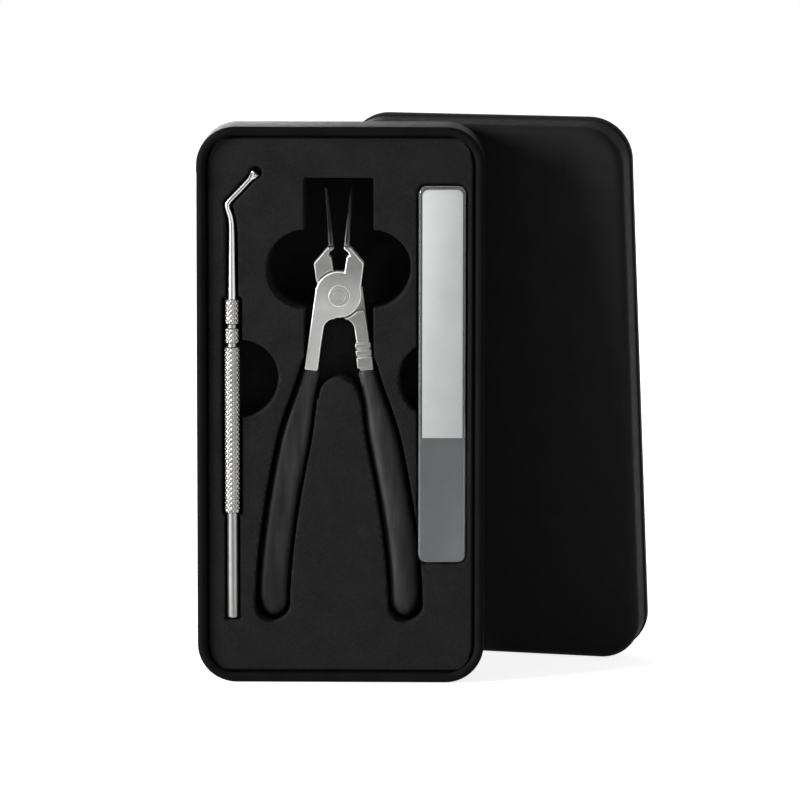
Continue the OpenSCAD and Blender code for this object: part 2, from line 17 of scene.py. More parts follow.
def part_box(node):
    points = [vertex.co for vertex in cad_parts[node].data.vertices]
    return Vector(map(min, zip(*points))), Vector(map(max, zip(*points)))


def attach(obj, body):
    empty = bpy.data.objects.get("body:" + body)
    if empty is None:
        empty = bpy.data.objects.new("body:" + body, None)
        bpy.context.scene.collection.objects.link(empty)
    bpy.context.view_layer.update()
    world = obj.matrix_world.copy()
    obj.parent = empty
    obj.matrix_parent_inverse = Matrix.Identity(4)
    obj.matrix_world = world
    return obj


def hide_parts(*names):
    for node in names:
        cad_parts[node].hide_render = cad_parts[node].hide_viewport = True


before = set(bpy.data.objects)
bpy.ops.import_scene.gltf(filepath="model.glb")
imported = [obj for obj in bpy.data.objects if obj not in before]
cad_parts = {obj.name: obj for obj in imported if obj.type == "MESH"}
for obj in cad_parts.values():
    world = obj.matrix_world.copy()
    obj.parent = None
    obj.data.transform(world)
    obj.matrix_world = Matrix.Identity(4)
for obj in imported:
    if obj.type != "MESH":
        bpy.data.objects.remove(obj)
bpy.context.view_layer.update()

logging.basicConfig(level=logging.INFO, format="%(name)s: %(message)s")
LOG = logging.getLogger("manicure_set")

MM = 0.001
Array = np.ndarray
Colour = tuple[float, float, float]
Place = tuple[float, float, float]
Point = tuple[float, float]
Socket = bpy.types.NodeSocket

# Signs of the four corners of a rectangle, anticlockwise from the upper right one.
CORNERS = np.array([[1, 1], [-1, 1], [-1, -1], [1, -1]])


# Tools for meshes ---------------------------------------------------------------------------

@dataclass(frozen=True)
class Box:
    """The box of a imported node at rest, in millimetres."""

    low: Array
    high: Array

    @classmethod
    def of(cls, node: str) -> "Box":
        """Returns the box of the node."""
        low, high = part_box(node)
        return cls(np.array(low) / MM, np.array(high) / MM)

    @property
    def middle(self) -> Array:
        """The box's middle."""
        return (self.low + self.high) / 2

    @property
    def size(self) -> Array:
        """The box's three sides."""
        return self.high - self.low


class Surface:
    """Points and faces gathered from grids, in millimetres, and made into one mesh."""

    def __init__(self) -> None:
        """Starts without points or faces."""
        self.points: list[Array] = []
        self.faces: list[Array] = []
        self.count = 0

    def grid(self, points: Array, wrap_rows: bool = False, wrap_columns: bool = False) -> Array:
        """Adds a grid of points and the quads between them.

        Args:
            points: array of rows, columns and three coordinates.
            wrap_rows: whether the last row joins the first.
            wrap_columns: whether the last column joins the first.

        Returns:
            The points' numbers, as rows and columns.
        """
        rows, columns = points.shape[:2]
        numbers = self.count + np.arange(rows * columns).reshape(rows, columns)
        ring = np.vstack([numbers, numbers[:1]]) if wrap_rows else numbers
        ring = np.hstack([ring, ring[:, :1]]) if wrap_columns else ring
        quads = np.stack([ring[:-1, :-1], ring[1:, :-1], ring[1:, 1:], ring[:-1, 1:]], axis=-1)
        self.points.append(points.reshape(-1, 3))
        self.faces.append(quads.reshape(-1, 4))
        self.count += rows * columns
        return numbers

    def face(self, numbers: Array) -> None:
        """Adds one face through the numbered points."""
        self.faces.append(np.asarray(numbers).reshape(1, -1))

    def tube(self, rings: Array, close_start: bool = True, close_end: bool = True) -> "Surface":
        """Adds rings that are joined into a tube.

        Args:
            rings: array of rings, points round each ring and three coordinates.
            close_start: whether a face closes the first ring.
            close_end: whether a face closes the last ring.

        Returns:
            This surface.
        """
        numbers = self.grid(rings, wrap_columns=True)
        if close_start:
            self.face(numbers[0, ::-1])
        if close_end:
            self.face(numbers[-1])
        return self

    def build(self, name: str, sharp: float = 35.0) -> bpy.types.Object:
        """Makes the object, closes its seams and turns its faces outwards.

        Args:
            name: the object's name.
            sharp: edges that bend by more than this many degrees stay sharp.

        Returns:
            The new object, linked to the scene.
        """
        points = np.concatenate(self.points) * MM
        loops = np.concatenate([part.ravel() for part in self.faces])
        sizes = np.concatenate([np.full(len(part), part.shape[1]) for part in self.faces])
        starts = np.concatenate([[0], np.cumsum(sizes)[:-1]])
        mesh = bpy.data.meshes.new(name)
        mesh.vertices.add(len(points))
        mesh.vertices.foreach_set("co", points.astype(np.float32).ravel())
        mesh.loops.add(len(loops))
        mesh.loops.foreach_set("vertex_index", loops.astype(np.int32))
        mesh.polygons.add(len(sizes))
        mesh.polygons.foreach_set("loop_start", starts.astype(np.int32))
        mesh.update(calc_edges=True)
        mesh.validate()
        thing = placed(name, mesh)
        tidy_mesh(mesh, sharp)
        return thing


def placed(name: str, data: bpy.types.ID) -> bpy.types.Object:
    """Makes an object of the data and links it to the scene."""
    thing = bpy.data.objects.new(name, data)
    bpy.context.scene.collection.objects.link(thing)
    return thing


def tidy_mesh(mesh: bpy.types.Mesh, sharp: float, weld: float = 0.0005) -> None:
    """Welds doubled points, drops empty faces, points faces outwards and shades smoothly.

    Args:
        mesh: the mesh to tidy.
        sharp: edges that bend by more than this many degrees stay sharp.
        weld: points closer than this, in millimetres, become one.
    """
    work = bmesh.new()
    work.from_mesh(mesh)
    bmesh.ops.remove_doubles(work, verts=work.verts, dist=weld * MM)
    bmesh.ops.dissolve_degenerate(work, edges=work.edges, dist=weld * MM / 10)
    bmesh.ops.recalc_face_normals(work, faces=work.faces)
    work.to_mesh(mesh)
    work.free()
    mesh.polygons.foreach_set("use_smooth", np.ones(len(mesh.polygons), dtype=bool))
    mesh.set_sharp_from_angle(angle=radians(sharp))
    mesh.update()


def arc(middle: Point, radius: float, start: float, end: float, steps: int) -> list[Point]:
    """Returns points on a round arc, from the start angle to the end angle in degrees."""
    turns = np.radians(np.linspace(start, end, steps + 1))
    return list(zip(middle[0] + radius * np.cos(turns), middle[1] + radius * np.sin(turns)))


def corner_turns(steps: int) -> Array:
    """Returns the angles of four quarter arcs, one after the other, each of that many steps."""
    turns = np.radians(np.linspace(0, 90, steps + 1))
    starts = np.array([0, 0.5, 1, 1.5]) * pi
    return (starts[:, None] + turns[None, :]).ravel()


def smooth_step(share: Array) -> Array:
    """Returns 0 below 0, 1 above 1 and an even S between."""
    held = np.clip(share, 0.0, 1.0)
    return held * held * (3 - 2 * held)


def show(thing: bpy.types.Object, body: str, finish: bpy.types.Material,
         nodes: tuple[str, ...] = ()) -> bpy.types.Object:
    """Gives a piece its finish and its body.

    Args:
        thing: the piece.
        body: the body that it moves with.
        finish: its material.
        nodes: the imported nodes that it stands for.

    Returns:
        The same piece.
    """
    thing.data.materials.clear()
    thing.data.materials.append(finish)
    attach(thing, body)
    if nodes:
        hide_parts(*nodes)
    LOG.info("%s rides %s, %d faces", thing.name, body, len(thing.data.polygons))
    return thing


def dress_node(node: str, finish: bpy.types.Material) -> None:
    """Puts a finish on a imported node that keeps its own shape."""
    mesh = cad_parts[node].data
    mesh.materials.clear()
    mesh.materials.append(finish)
    LOG.info("%s keeps its solid", node)


def bevelled_copy(node: str, name: str, width: float, segments: int = 2,
                  flat_area: float = 5.0) -> bpy.types.Object:
    """Copies a node's mesh and breaks its sharp edges, as grinding does.

    Args:
        node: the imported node.
        name: the copy's name.
        width: width of the broken edge in millimetres.
        segments: faces across the broken edge.
        flat_area: faces of more square millimetres than this are ground flat, as are the front
            and the back.

    Returns:
        The new object.
    """
    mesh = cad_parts[node].data.copy()
    mesh.name = name
    thing = placed(name, mesh)
    tidy_mesh(mesh, 30, weld=0.004)
    work = bmesh.new()
    work.from_mesh(mesh)
    bmesh.ops.dissolve_limit(work, angle_limit=radians(1.0), verts=work.verts, edges=work.edges)
    work.to_mesh(mesh)
    work.free()
    bevel = thing.modifiers.new("broken edges", "BEVEL")
    bevel.width = width * MM
    bevel.segments = segments
    bevel.limit_method = "ANGLE"
    bevel.angle_limit = radians(28)
    bevel.use_clamp_overlap = False
    bevel.harden_normals = False
    bpy.context.view_layer.update()
    ready = bpy.data.meshes.new_from_object(
        thing.evaluated_get(bpy.context.evaluated_depsgraph_get()))
    thing.modifiers.clear()
    thing.data = ready
    ready.name = name
    areas = np.empty(len(ready.polygons), dtype=np.float32)
    ready.polygons.foreach_get("area", areas)
    normals = np.empty(3 * len(ready.polygons), dtype=np.float32)
    ready.polygons.foreach_get("normal", normals)
    flat = (areas > flat_area * MM * MM) | (np.abs(normals[1::3]) > 0.9999)
    ready.set_sharp_from_angle(angle=radians(40))
    ready.polygons.foreach_set("use_smooth", ~flat)
    return thing


# Finishes -----------------------------------------------------------------------------------

class Board:
    """A node tree, with a short call for each sum that the finishes and the studio need."""

    def __init__(self, tree: bpy.types.NodeTree) -> None:
        """Keeps the tree to which the other calls add their nodes."""
        self.tree = tree

    def add(self, kind: str, **settings: object) -> bpy.types.Node:
        """Adds a node, with its properties set by name."""
        node = self.tree.nodes.new(kind)
        for key, value in settings.items():
            setattr(node, key, value)
        return node

    def link(self, source: Socket, target: Socket) -> None:
        """Links an output to an input."""
        self.tree.links.new(source, target)

    def spread(self, source: Socket, low: float, high: float, start: float = 0.3,
               end: float = 0.7) -> Socket:
        """Returns the source, with start to end mapped on low to high."""
        spread = self.add("ShaderNodeMapRange")
        limits = {"From Min": start, "From Max": end, "To Min": low, "To Max": high}
        for key, value in limits.items():
            spread.inputs[key].default_value = value
        self.link(source, spread.inputs["Value"])
        return spread.outputs["Result"]

    def maths(self, operation: str, first: Socket | float,
              second: Socket | float = 0.0) -> Socket:
        """Returns the result of a sum on two values, either of which may be a number."""
        node = self.add("ShaderNodeMath", operation=operation)
        for value, socket in ((first, node.inputs[0]), (second, node.inputs[1])):
            if isinstance(value, (int, float)):
                socket.default_value = value
            else:
                self.link(value, socket)
        return node.outputs[0]

    def parts(self, vector: Socket) -> list[Socket]:
        """Returns a vector's three parts."""
        split = self.add("ShaderNodeSeparateXYZ")
        self.link(vector, split.inputs[0])
        return list(split.outputs)


class Recipe(Board):
    """A material's node tree, with the patterns that the finishes are mixed from."""

    def __init__(self, name: str, **sockets: object) -> None:
        """Starts a material with its main shader.

        Args:
            name: the material's name.
            **sockets: constants for the shader's sockets, with underscores for spaces.
        """
        self.material = bpy.data.materials.new(name)
        self.material.use_nodes = True
        super().__init__(self.material.node_tree)
        self.tree.nodes.clear()
        output = self.add("ShaderNodeOutputMaterial")
        self.place = self.add("ShaderNodeTexCoord").outputs["Object"]
        self.shader = self.add("ShaderNodeBsdfPrincipled")
        for key, value in sockets.items():
            self.shader.inputs[key.replace("_", " ")].default_value = value
        self.link(self.shader.outputs[0], output.inputs[0])

    def feed(self, socket: str, source: Socket) -> None:
        """Links a pattern or a colour to the main shader's socket of that name."""
        self.link(source, self.shader.inputs[socket])

    def mapped(self, stretch: Place = (1, 1, 1), middle: Place = (0, 0, 0)) -> Socket:
        """Returns object coordinates less the middle in millimetres, then stretched."""
        centred = self.add("ShaderNodeMapping", vector_type="POINT")
        centred.inputs["Location"].default_value = [-value * MM for value in middle]
        self.link(self.place, centred.inputs["Vector"])
        stretched = self.add("ShaderNodeMapping", vector_type="POINT")
        stretched.inputs["Scale"].default_value = stretch
        self.link(centred.outputs[0], stretched.inputs["Vector"])
        return stretched.outputs[0]

    def noise(self, size: float, detail: float = 2.0, roughness: float = 0.5,
              vector: Socket | None = None) -> Socket:
        """Returns a cloudy pattern from 0 to 1, with blotches of the size in millimetres."""
        noise = self.add("ShaderNodeTexNoise")
        noise.inputs["Scale"].default_value = 1 / (size * MM)
        noise.inputs["Detail"].default_value = detail
        noise.inputs["Roughness"].default_value = roughness
        self.link(vector or self.place, noise.inputs["Vector"])
        return noise.outputs[0]

    def cells(self, size: float) -> Socket:
        """Returns the distance to the nearest of scattered cell middles, of the size in mm."""
        cells = self.add("ShaderNodeTexVoronoi", feature="F1")
        cells.inputs["Scale"].default_value = 1 / (size * MM)
        self.link(self.place, cells.inputs["Vector"])
        return cells.outputs["Distance"]

    def blend(self, share: Socket, first: Colour, second: Colour) -> Socket:
        """Returns a colour between the first and the second, by the share from 0 to 1."""
        mix = self.add("ShaderNodeMix", data_type="RGBA")
        mix.inputs[6].default_value = (*first, 1)
        mix.inputs[7].default_value = (*second, 1)
        self.link(share, mix.inputs[0])
        return mix.outputs[2]

    def along(self, axis: int, low: float, high: float, start: float,
              end: float) -> Socket:
        """Returns low to high as the object's axis runs from start to end in millimetres."""
        return self.spread(self.parts(self.place)[axis], low, high, start * MM, end * MM)

    def facing(self) -> list[Socket]:
        """Returns the X, Y and Z of the surface's own normal, in the piece's coordinates."""
        return self.parts(self.add("ShaderNodeTexCoord").outputs["Normal"])

    def dimmed(self, colour: Socket, level: Socket) -> Socket:
        """Returns a colour times a level from 0 to 1."""
        mix = self.add("ShaderNodeMix", data_type="RGBA")
        mix.inputs[6].default_value = (0, 0, 0, 1)
        self.link(colour, mix.inputs[7])
        self.link(level, mix.inputs[0])
        return mix.outputs[2]

    def bump(self, height: Socket, depth: float) -> None:
        """Roughens the surface by the height from 0 to 1, depth in millimetres."""
        bump = self.add("ShaderNodeBump")
        bump.inputs["Strength"].default_value = 1.0
        bump.inputs["Distance"].default_value = depth * MM
        self.link(height, bump.inputs["Height"])
        self.feed("Normal", bump.outputs[0])


@dataclass(frozen=True)
class BakedLacquer:
    """Matte black lacquer, baked on sheet steel: fine orange peel, and dust that dulls it."""

    name: str
    colour: Colour
    dusty: Colour
    specular: float = 0.12
    roughness: float = 0.46
    dust_size: float = 14.0
    wear_size: float = 3.0
    peel_size: float = 0.5
    peel_depth: float = 0.012

    def make(self) -> bpy.types.Material:
        """Returns the material."""
        recipe = Recipe(self.name, Specular_IOR_Level=self.specular)
        dust = recipe.noise(self.dust_size, detail=5, roughness=0.65)
        recipe.feed("Base Color", recipe.blend(recipe.spread(dust, 0, 1), self.colour, self.dusty))
        recipe.feed("Roughness", recipe.spread(recipe.noise(self.wear_size, detail=4),
                                               self.roughness - 0.04, self.roughness + 0.06))
        recipe.bump(recipe.noise(self.peel_size, detail=2), self.peel_depth)
        return recipe.material


@dataclass(frozen=True)
class CutFoam:
    """Black foam of fine closed cells, dull and uneven in tone, and darker deeper in its slots, a
    painted shade.
    """

    name: str = "cut_foam"
    colour: Colour = (0.0088, 0.0088, 0.009)
    worn: Colour = (0.0192, 0.0192, 0.0192)
    face: float = -11.0
    slot_shade: float = 0.8
    patch_size: float = 9.0
    fleck_size: float = 0.7
    cell: float = 0.32
    depth: float = 0.09

    def make(self) -> bpy.types.Material:
        """Returns the material."""
        recipe = Recipe(self.name, Roughness=0.95, Specular_IOR_Level=0.08)
        mottle = recipe.maths("ADD", recipe.spread(recipe.noise(self.patch_size, detail=4), 0, 0.4),
                              recipe.spread(recipe.noise(self.fleck_size, detail=3), 0, 0.6))
        # Painted shade: the colour darkens deeper into the slots.
        cut = recipe.along(1, 1.0, self.slot_shade, self.face + 0.4, self.face + 4)
        tone = recipe.blend(mottle, self.colour, self.worn)
        recipe.feed("Base Color", recipe.dimmed(tone, cut))
        grain = recipe.maths("ADD", recipe.maths("MULTIPLY", recipe.cells(self.cell), 0.6),
                             recipe.noise(self.cell * 2.4, detail=3))
        recipe.bump(grain, self.depth)
        return recipe.material


class Grain(Enum):
    """Which way a steel surface was ground or turned."""

    LENGTHWISE = (0.06, 0.06, 2.2)
    EVEN = (0.5, 0.5, 0.5)


@dataclass(frozen=True)
class GroundSteel:
    """Stainless steel with fine grinding lines and small changes of tone.

    On the nippers the flat faces get a painted shade from the pivot up to the jaws, whose ground
    edges get a painted highlight, and above the neck the blades get a dark painted shade.
    """

    name: str
    colour: Colour
    shade: Colour
    roughness: float
    grain: Grain = Grain.LENGTHWISE
    line_depth: float = 0.0022
    pivot_height: float | None = None
    neck: float = 15.9
    # Painted shade towards the jaws for a jaw level below 1, painted light for one above 1:
    painted_jaw_level: float = 0.6
    # Painted highlight on the ground edges:
    painted_edge_highlight: float = 1.3
    edge_roughness: float = 0.62
    flat_slope: tuple[float, float] = (0.95, 0.995)
    # Painted shade on the blades above the neck, its levels here and its run below:
    skin: tuple[float, float] = (0.15, 0.04)
    painted_blade_shade_run: float = 6.0

    def make(self) -> bpy.types.Material:
        """Returns the material."""
        recipe = Recipe(self.name, Metallic=1.0)
        stretch = tuple(1 / size for size in self.grain.value)
        lines = recipe.noise(1.0, detail=3, roughness=0.6, vector=recipe.mapped(stretch))
        cloud = recipe.noise(6, detail=3)
        tone = recipe.maths("ADD", recipe.spread(cloud, 0, 0.6), recipe.spread(lines, 0, 0.4))
        colour = recipe.blend(tone, self.shade, self.colour)
        coarse = 0.0
        if self.pivot_height is not None:
            pivot, neck = self.pivot_height, self.pivot_height + self.neck
            slope = recipe.maths("ABSOLUTE", recipe.facing()[1])
            # Painted highlight: the ground edges' colour is raised above the steel's own.
            ground = recipe.spread(slope, self.painted_edge_highlight, 0, *self.flat_slope)
            coarse = recipe.spread(slope, self.edge_roughness, 0, *self.flat_slope)
            # Painted shade: the flat faces' colour darkens from the pivot up to the jaws.
            painted_height_shade = recipe.along(2, 1.0, self.painted_jaw_level, pivot - 3, pivot + 9)
            jaws = recipe.maths("MAXIMUM", painted_height_shade, ground)
            # Painted shade: the blades above the neck are painted dark.
            skin = recipe.maths("MAXIMUM", recipe.along(2, 1, 0, neck - 0.6, neck),
                                recipe.along(2, *self.skin, neck, neck + self.painted_blade_shade_run))
            colour = recipe.dimmed(colour, recipe.maths("MULTIPLY", jaws, skin))
        recipe.feed("Base Color", colour)
        worn = recipe.spread(lines, self.roughness - 0.05, self.roughness + 0.07)
        recipe.feed("Roughness", recipe.maths("MAXIMUM", worn, coarse))
        recipe.bump(lines, self.line_depth)
        return recipe.material


@dataclass(frozen=True)
class TurnedSteel:
    """Steel turned on a lathe, with fine rings round its middle in the X-Z plane."""

    name: str
    colour: Colour
    middle: Place
    roughness: float = 0.3
    ring: float = 0.22
    ring_depth: float = 0.003
    shade: float = 0.86

    def make(self) -> bpy.types.Material:
        """Returns the material."""
        recipe = Recipe(self.name, Metallic=1.0)
        rings = recipe.add("ShaderNodeTexWave", wave_type="RINGS", rings_direction="Y")
        rings.inputs["Scale"].default_value = 0.3 / (self.ring * MM)
        rings.inputs["Distortion"].default_value = 0.6
        recipe.link(recipe.mapped(middle=self.middle), rings.inputs["Vector"])
        shade = tuple(part * self.shade for part in self.colour)
        recipe.feed("Base Color", recipe.blend(recipe.noise(1.5, detail=3), shade, self.colour))
        height = rings.outputs["Fac"]
        recipe.feed("Roughness", recipe.spread(height, self.roughness - 0.04,
                                               self.roughness + 0.06, 0, 1))
        recipe.bump(height, self.ring_depth)
        return recipe.material


@dataclass(frozen=True)
class DippedVinyl:
    """Soft vinyl from a dip, satin, with a fine skin and faint runs.

    The side that faces the other grip is painted paler, a painted sheen, and the side facing away
    is painted darker, a painted shade: inner gives the sheen's side as the sign of X, and a pair of
    slopes of the skin sets where it turns pale. The colour is darker towards the lower end.
    """

    name: str
    inner: int
    painted_sheen: tuple[float, float]
    colour: Colour = (0.026, 0.026, 0.026)
    pale: Colour = (0.066, 0.0655, 0.064)
    roughness: float = 0.48
    # Level of the painted shade on the side facing away, then the darkening towards the lower end:
    painted_outer_shade: float = 0.22
    lower_end_tone: float = 0.62
    lower_end_span: tuple[float, float] = (25, 75)

    def make(self) -> bpy.types.Material:
        """Returns the material."""
        recipe = Recipe(self.name, Specular_IOR_Level=0.1)
        runs = recipe.noise(1.0, detail=4, vector=recipe.mapped((1 / 2.5, 1 / 2.5, 1 / 16)))
        # Painted sheen on the side facing the other grip and painted shade on the side facing away,
        # by the normal.
        inwards = recipe.maths("MULTIPLY", recipe.facing()[0], self.inner)
        painted_sheen = recipe.spread(inwards, self.painted_outer_shade, 1, *self.painted_sheen)
        tone = recipe.blend(recipe.spread(runs, 0, 1), self.colour, self.pale)
        # The painted sheen and painted shade, darkened towards the lower end.
        worn = recipe.maths("MULTIPLY", painted_sheen, recipe.along(2, self.lower_end_tone, 1, *self.lower_end_span))
        recipe.feed("Base Color", recipe.dimmed(tone, worn))
        recipe.feed("Roughness", recipe.spread(recipe.noise(0.8, detail=4),
                                               self.roughness - 0.05, self.roughness + 0.08))
        recipe.bump(recipe.noise(0.28, detail=3), 0.012)
        return recipe.material


@dataclass(frozen=True)
class ClearGlass:
    """The file's clear glass, faintly grey, with soft flow marks from its polishing."""

    name: str = "clear_glass"
    colour: Colour = (0.86, 0.89, 0.9)

    def make(self) -> bpy.types.Material:
        """Returns the material."""
        recipe = Recipe(self.name, IOR=1.52, Transmission_Weight=0.9, Specular_IOR_Level=0.5)
        haze = recipe.noise(22, detail=2)
        pale = tuple(part * 0.94 for part in self.colour)
        recipe.feed("Base Color", recipe.blend(haze, pale, self.colour))
        recipe.feed("Roughness", recipe.spread(haze, 0.1, 0.18))
        recipe.bump(recipe.noise(9, detail=1), 0.001)
        return recipe.material


@dataclass(frozen=True)
class EtchedGlass:
    """The file's etched abrasive field, a fine even white frost."""

    name: str = "etched_glass"
    colour: Colour = (0.6, 0.61, 0.61)
    shade: Colour = (0.53, 0.54, 0.545)
    grit: float = 0.14

    def make(self) -> bpy.types.Material:
        """Returns the material."""
        recipe = Recipe(self.name, Roughness=0.62, Specular_IOR_Level=0.35)
        tone = recipe.maths("ADD", recipe.spread(recipe.noise(11, detail=3), 0, 0.7),
                            recipe.spread(recipe.noise(self.grit * 2, detail=2), 0, 0.3))
        recipe.feed("Base Color", recipe.blend(tone, self.shade, self.colour))
        recipe.bump(recipe.cells(self.grit), 0.02)
        return recipe.material


# Tin ----------------------------------------------------------------------------------------

@dataclass
class PressedTray:
    """A tray drawn from sheet steel, drawn with its back down and its open side up.

    The wall's profile is carried round a rounded rectangle. Its first axis runs outwards from
    the middle of a corner, its second from the back to the open side.
    """

    width: float
    length: float
    corner: float
    sheet: float = 0.5
    edge: float = 3.0
    corner_steps: int = 20
    edge_steps: int = 8

    def back_half(self, outside: bool) -> list[Point]:
        """Returns the profile from the back's middle to the wall, on one side of the sheet."""
        radius = self.edge if outside else self.edge - self.sheet
        middle = (self.corner - self.edge, self.edge)
        start = (0.0, 0.0 if outside else self.sheet)
        return [start] + arc(middle, radius, -90, 0, self.edge_steps)

    def sweep(self, name: str, profile: list[Point]) -> Surface:
        """Carries a profile that starts and ends at a corner's middle round the tray.

        The point for a turn a and a profile point (u, v) is the corner's middle plus u times
        (cos a, sin a), at the height v. The straight walls lie between two corners' arcs, and
        the four corner middles close the back, outside and inside.

        Args:
            name: only said in the log.
            profile: points of the profile, from the outside round to the inside.

        Returns:
            The surface, with X across, Y along the tray and Z towards the open side.
        """
        outline = np.array(profile)
        angle = corner_turns(self.corner_steps)
        count = self.corner_steps + 1
        middles = CORNERS * [self.width / 2 - self.corner, self.length / 2 - self.corner]
        middle = np.repeat(middles, count, axis=0)
        across = middle[:, None, 0] + outline[None, :, 0] * np.cos(angle)[:, None]
        along = middle[:, None, 1] + outline[None, :, 0] * np.sin(angle)[:, None]
        height = np.broadcast_to(outline[None, :, 1], across.shape)
        surface = Surface()
        numbers = surface.grid(np.stack([across, along, height], axis=-1), wrap_rows=True)
        firsts = numbers[::count]
        surface.face(firsts[:, 0])
        surface.face(firsts[::-1, -1])
        LOG.info("%s has %d profile points", name, len(profile))
        return surface


@dataclass
class Tin:
    """The base tin with its rolled rim, and the slip lid that leans on its back."""

    base_box: Box
    corner: float = 12.5
    sheet: float = 0.5
    edge: float = 3.0
    rim: float = 3.0
    lid_gap: float = 0.3
    lid_depth: float = 14.0
    hem: float = 2.5
    lid_shift: float = 52.0
    lid_yaw: float = 14.5
    lid_lean: float = 10.0
    lean_gap: float = 0.3
    # The base's and the lid's lacquers are copies of one tin lacquer: the base's darker tone is
    # painted shade and the lid's lighter tone is painted light.
    lacquer: BakedLacquer = BakedLacquer(
        "baked_lacquer", (0.0064, 0.0064, 0.0067), (0.0095, 0.0095, 0.0099), specular=0.008)
    lid_lacquer: BakedLacquer = BakedLacquer(
        "lid_lacquer", (0.0138, 0.0138, 0.0142), (0.0174, 0.0174, 0.018), specular=0.02,
        roughness=0.52)

    def base_profile(self) -> list[Point]:
        """Returns the base's wall, whose rim is rolled inwards over half a turn."""
        tray = PressedTray(0, 0, self.corner, self.sheet, self.edge)
        roll = self.rim / 2
        depth = self.base_box.size[1]
        middle = (self.corner - roll, depth - roll)
        return (tray.back_half(True) + arc(middle, roll, 0, 180, 16)
                + arc(middle, roll - self.sheet, 180, 0, 12) + tray.back_half(False)[::-1])

    def lid_profile(self, corner: float) -> list[Point]:
        """Returns the lid's wall, whose skirt ends in a flat hem that is folded outwards."""
        tray = PressedTray(0, 0, corner, self.sheet, self.edge)
        soft = self.sheet * 0.45
        outer = corner + self.sheet
        start = self.lid_depth - self.hem
        hem = ([(corner, start - soft)] + arc((outer - soft, start + soft), soft, -90, 0, 4)
               + arc((outer - soft, self.lid_depth - soft), soft, 0, 90, 4)
               + arc((corner - self.sheet + soft, self.lid_depth - soft), soft, 90, 180, 4))
        return tray.back_half(True) + hem + tray.back_half(False)[::-1]

    def lid_place(self, width: float, length: float) -> Matrix:
        """Works out where the lid stands, leaning on the upper back edge of the base.

        The base's reach along the lid's inward normal is that of its corner's middle, plus a
        ring of the pressed edge round that middle. The lid's lower edge touches the floor.

        Args:
            width: the base's width.
            length: the base's length.

        Returns:
            The turn and shift of the lid, in millimetres.
        """
        lean, yaw = radians(self.lid_lean), radians(self.lid_yaw)
        normal = Vector((sin(yaw) * cos(lean), cos(yaw) * cos(lean), sin(lean)))
        reach = ((width / 2 - self.corner) * normal.x + (length - self.corner) * normal.z
                 + (self.corner - self.edge) * (normal.x ** 2 + normal.z ** 2) ** 0.5
                 + (self.base_box.size[1] / 2 - self.edge) * normal.y + self.edge)
        foot = self.edge * (1 - sin(lean) - cos(lean))
        depth = (reach + self.lean_gap - self.lid_shift * normal.x - foot * normal.z) / normal.y
        turn = Matrix.Rotation(-yaw, 4, "Z") @ Matrix.Rotation(lean, 4, "X")
        return Matrix.Translation((self.lid_shift, depth, foot)) @ turn

    def build(self) -> None:
        """Builds the base and the lid."""
        width, depth, length = self.base_box.size
        base = PressedTray(width, length, self.corner, self.sheet, self.edge)
        shell = base.sweep("base", self.base_profile())
        stand = Matrix.Translation((0, depth / 2, length / 2)) @ Matrix.Rotation(pi / 2, 4, "X")
        shell.points = [moved(part, stand) for part in shell.points]
        show(shell.build("tin_base_shell"), "case", self.lacquer.make(), ("tin_base",))
        grow = self.lid_gap + self.sheet
        lid_corner = self.corner + grow
        lid = PressedTray(width + 2 * grow, length + 2 * grow, lid_corner, self.sheet, self.edge)
        cover = lid.sweep("lid", self.lid_profile(lid_corner))
        upright = (Matrix.Translation((0, 0, length / 2 + grow)) @ Matrix.Scale(-1, 4, (0, 1, 0))
                   @ Matrix.Rotation(pi / 2, 4, "X"))
        place = self.lid_place(width, length) @ upright
        cover.points = [moved(part, place) for part in cover.points]
        show(cover.build("tin_lid_shell"), "lid", self.lid_lacquer.make(),
             ("tin_lid",))


def moved(points: Array, place: Matrix) -> Array:
    """Returns the points after the place's turn and shift."""
    matrix = np.array(place)
    return points @ matrix[:3, :3].T + matrix[:3, 3]


# Nippers ------------------------------------------------------------------------------------

@dataclass
class Lever:
    """The curve that a handle follows, drawn closed with the pivot at the origin."""

    shank: float = 24.8
    reach: float = 106.0
    swing: float = 5.8
    mouth_half: float = 2.9
    grip_half: float = 4.85
    mouth_thick: float = 3.48
    grip_thick: float = 4.3
    swell: float = 0.32
    outer_tip: float = 0.14
    inner_tip: float = 0.08
    shank_half: float = 2.1

    def bow(self, share: Array) -> Array:
        """Returns points of the cubic curve from the grip's mouth to its end, as X and Z."""
        share = np.asarray(share)[..., None]
        held = np.array([[-6.5, -self.shank], [-10.5, -0.48 * self.reach],
                         [-13.5, -0.76 * self.reach], [-10.9, -self.reach]])
        rest = 1 - share
        return (rest ** 3 * held[0] + 3 * share * rest ** 2 * held[1]
                + 3 * share ** 2 * rest * held[2] + share ** 3 * held[3])

    def side(self, share: Array) -> Array:
        """Returns unit vectors square to the bow, pointing to its left."""
        run = self.bow(share + 0.01) - self.bow(share - 0.01)
        left = np.stack([run[..., 1], -run[..., 0]], axis=-1)
        return left / np.linalg.norm(left, axis=-1, keepdims=True)

    def half_width(self, share: Array) -> Array:
        """Returns the grip's half width at the shares of its length."""
        swollen = smooth_step(share / self.swell)
        return self.mouth_half + (self.grip_half - self.mouth_half) * swollen

    def fall(self, share: Array, tip: float) -> Array:
        """Returns 1 along the grip and a quarter ellipse down to 0 over its last share."""
        gone = np.clip((share - 1 + tip) / tip, 0, 1)
        return np.sqrt(np.clip(1 - gone ** 2, 0, 1))

    def half_thickness(self, share: Array) -> Array:
        """Returns the grip's half thickness at the shares of its length."""
        swollen = smooth_step(share / self.swell)
        return self.mouth_thick + (self.grip_thick - self.mouth_thick) * swollen


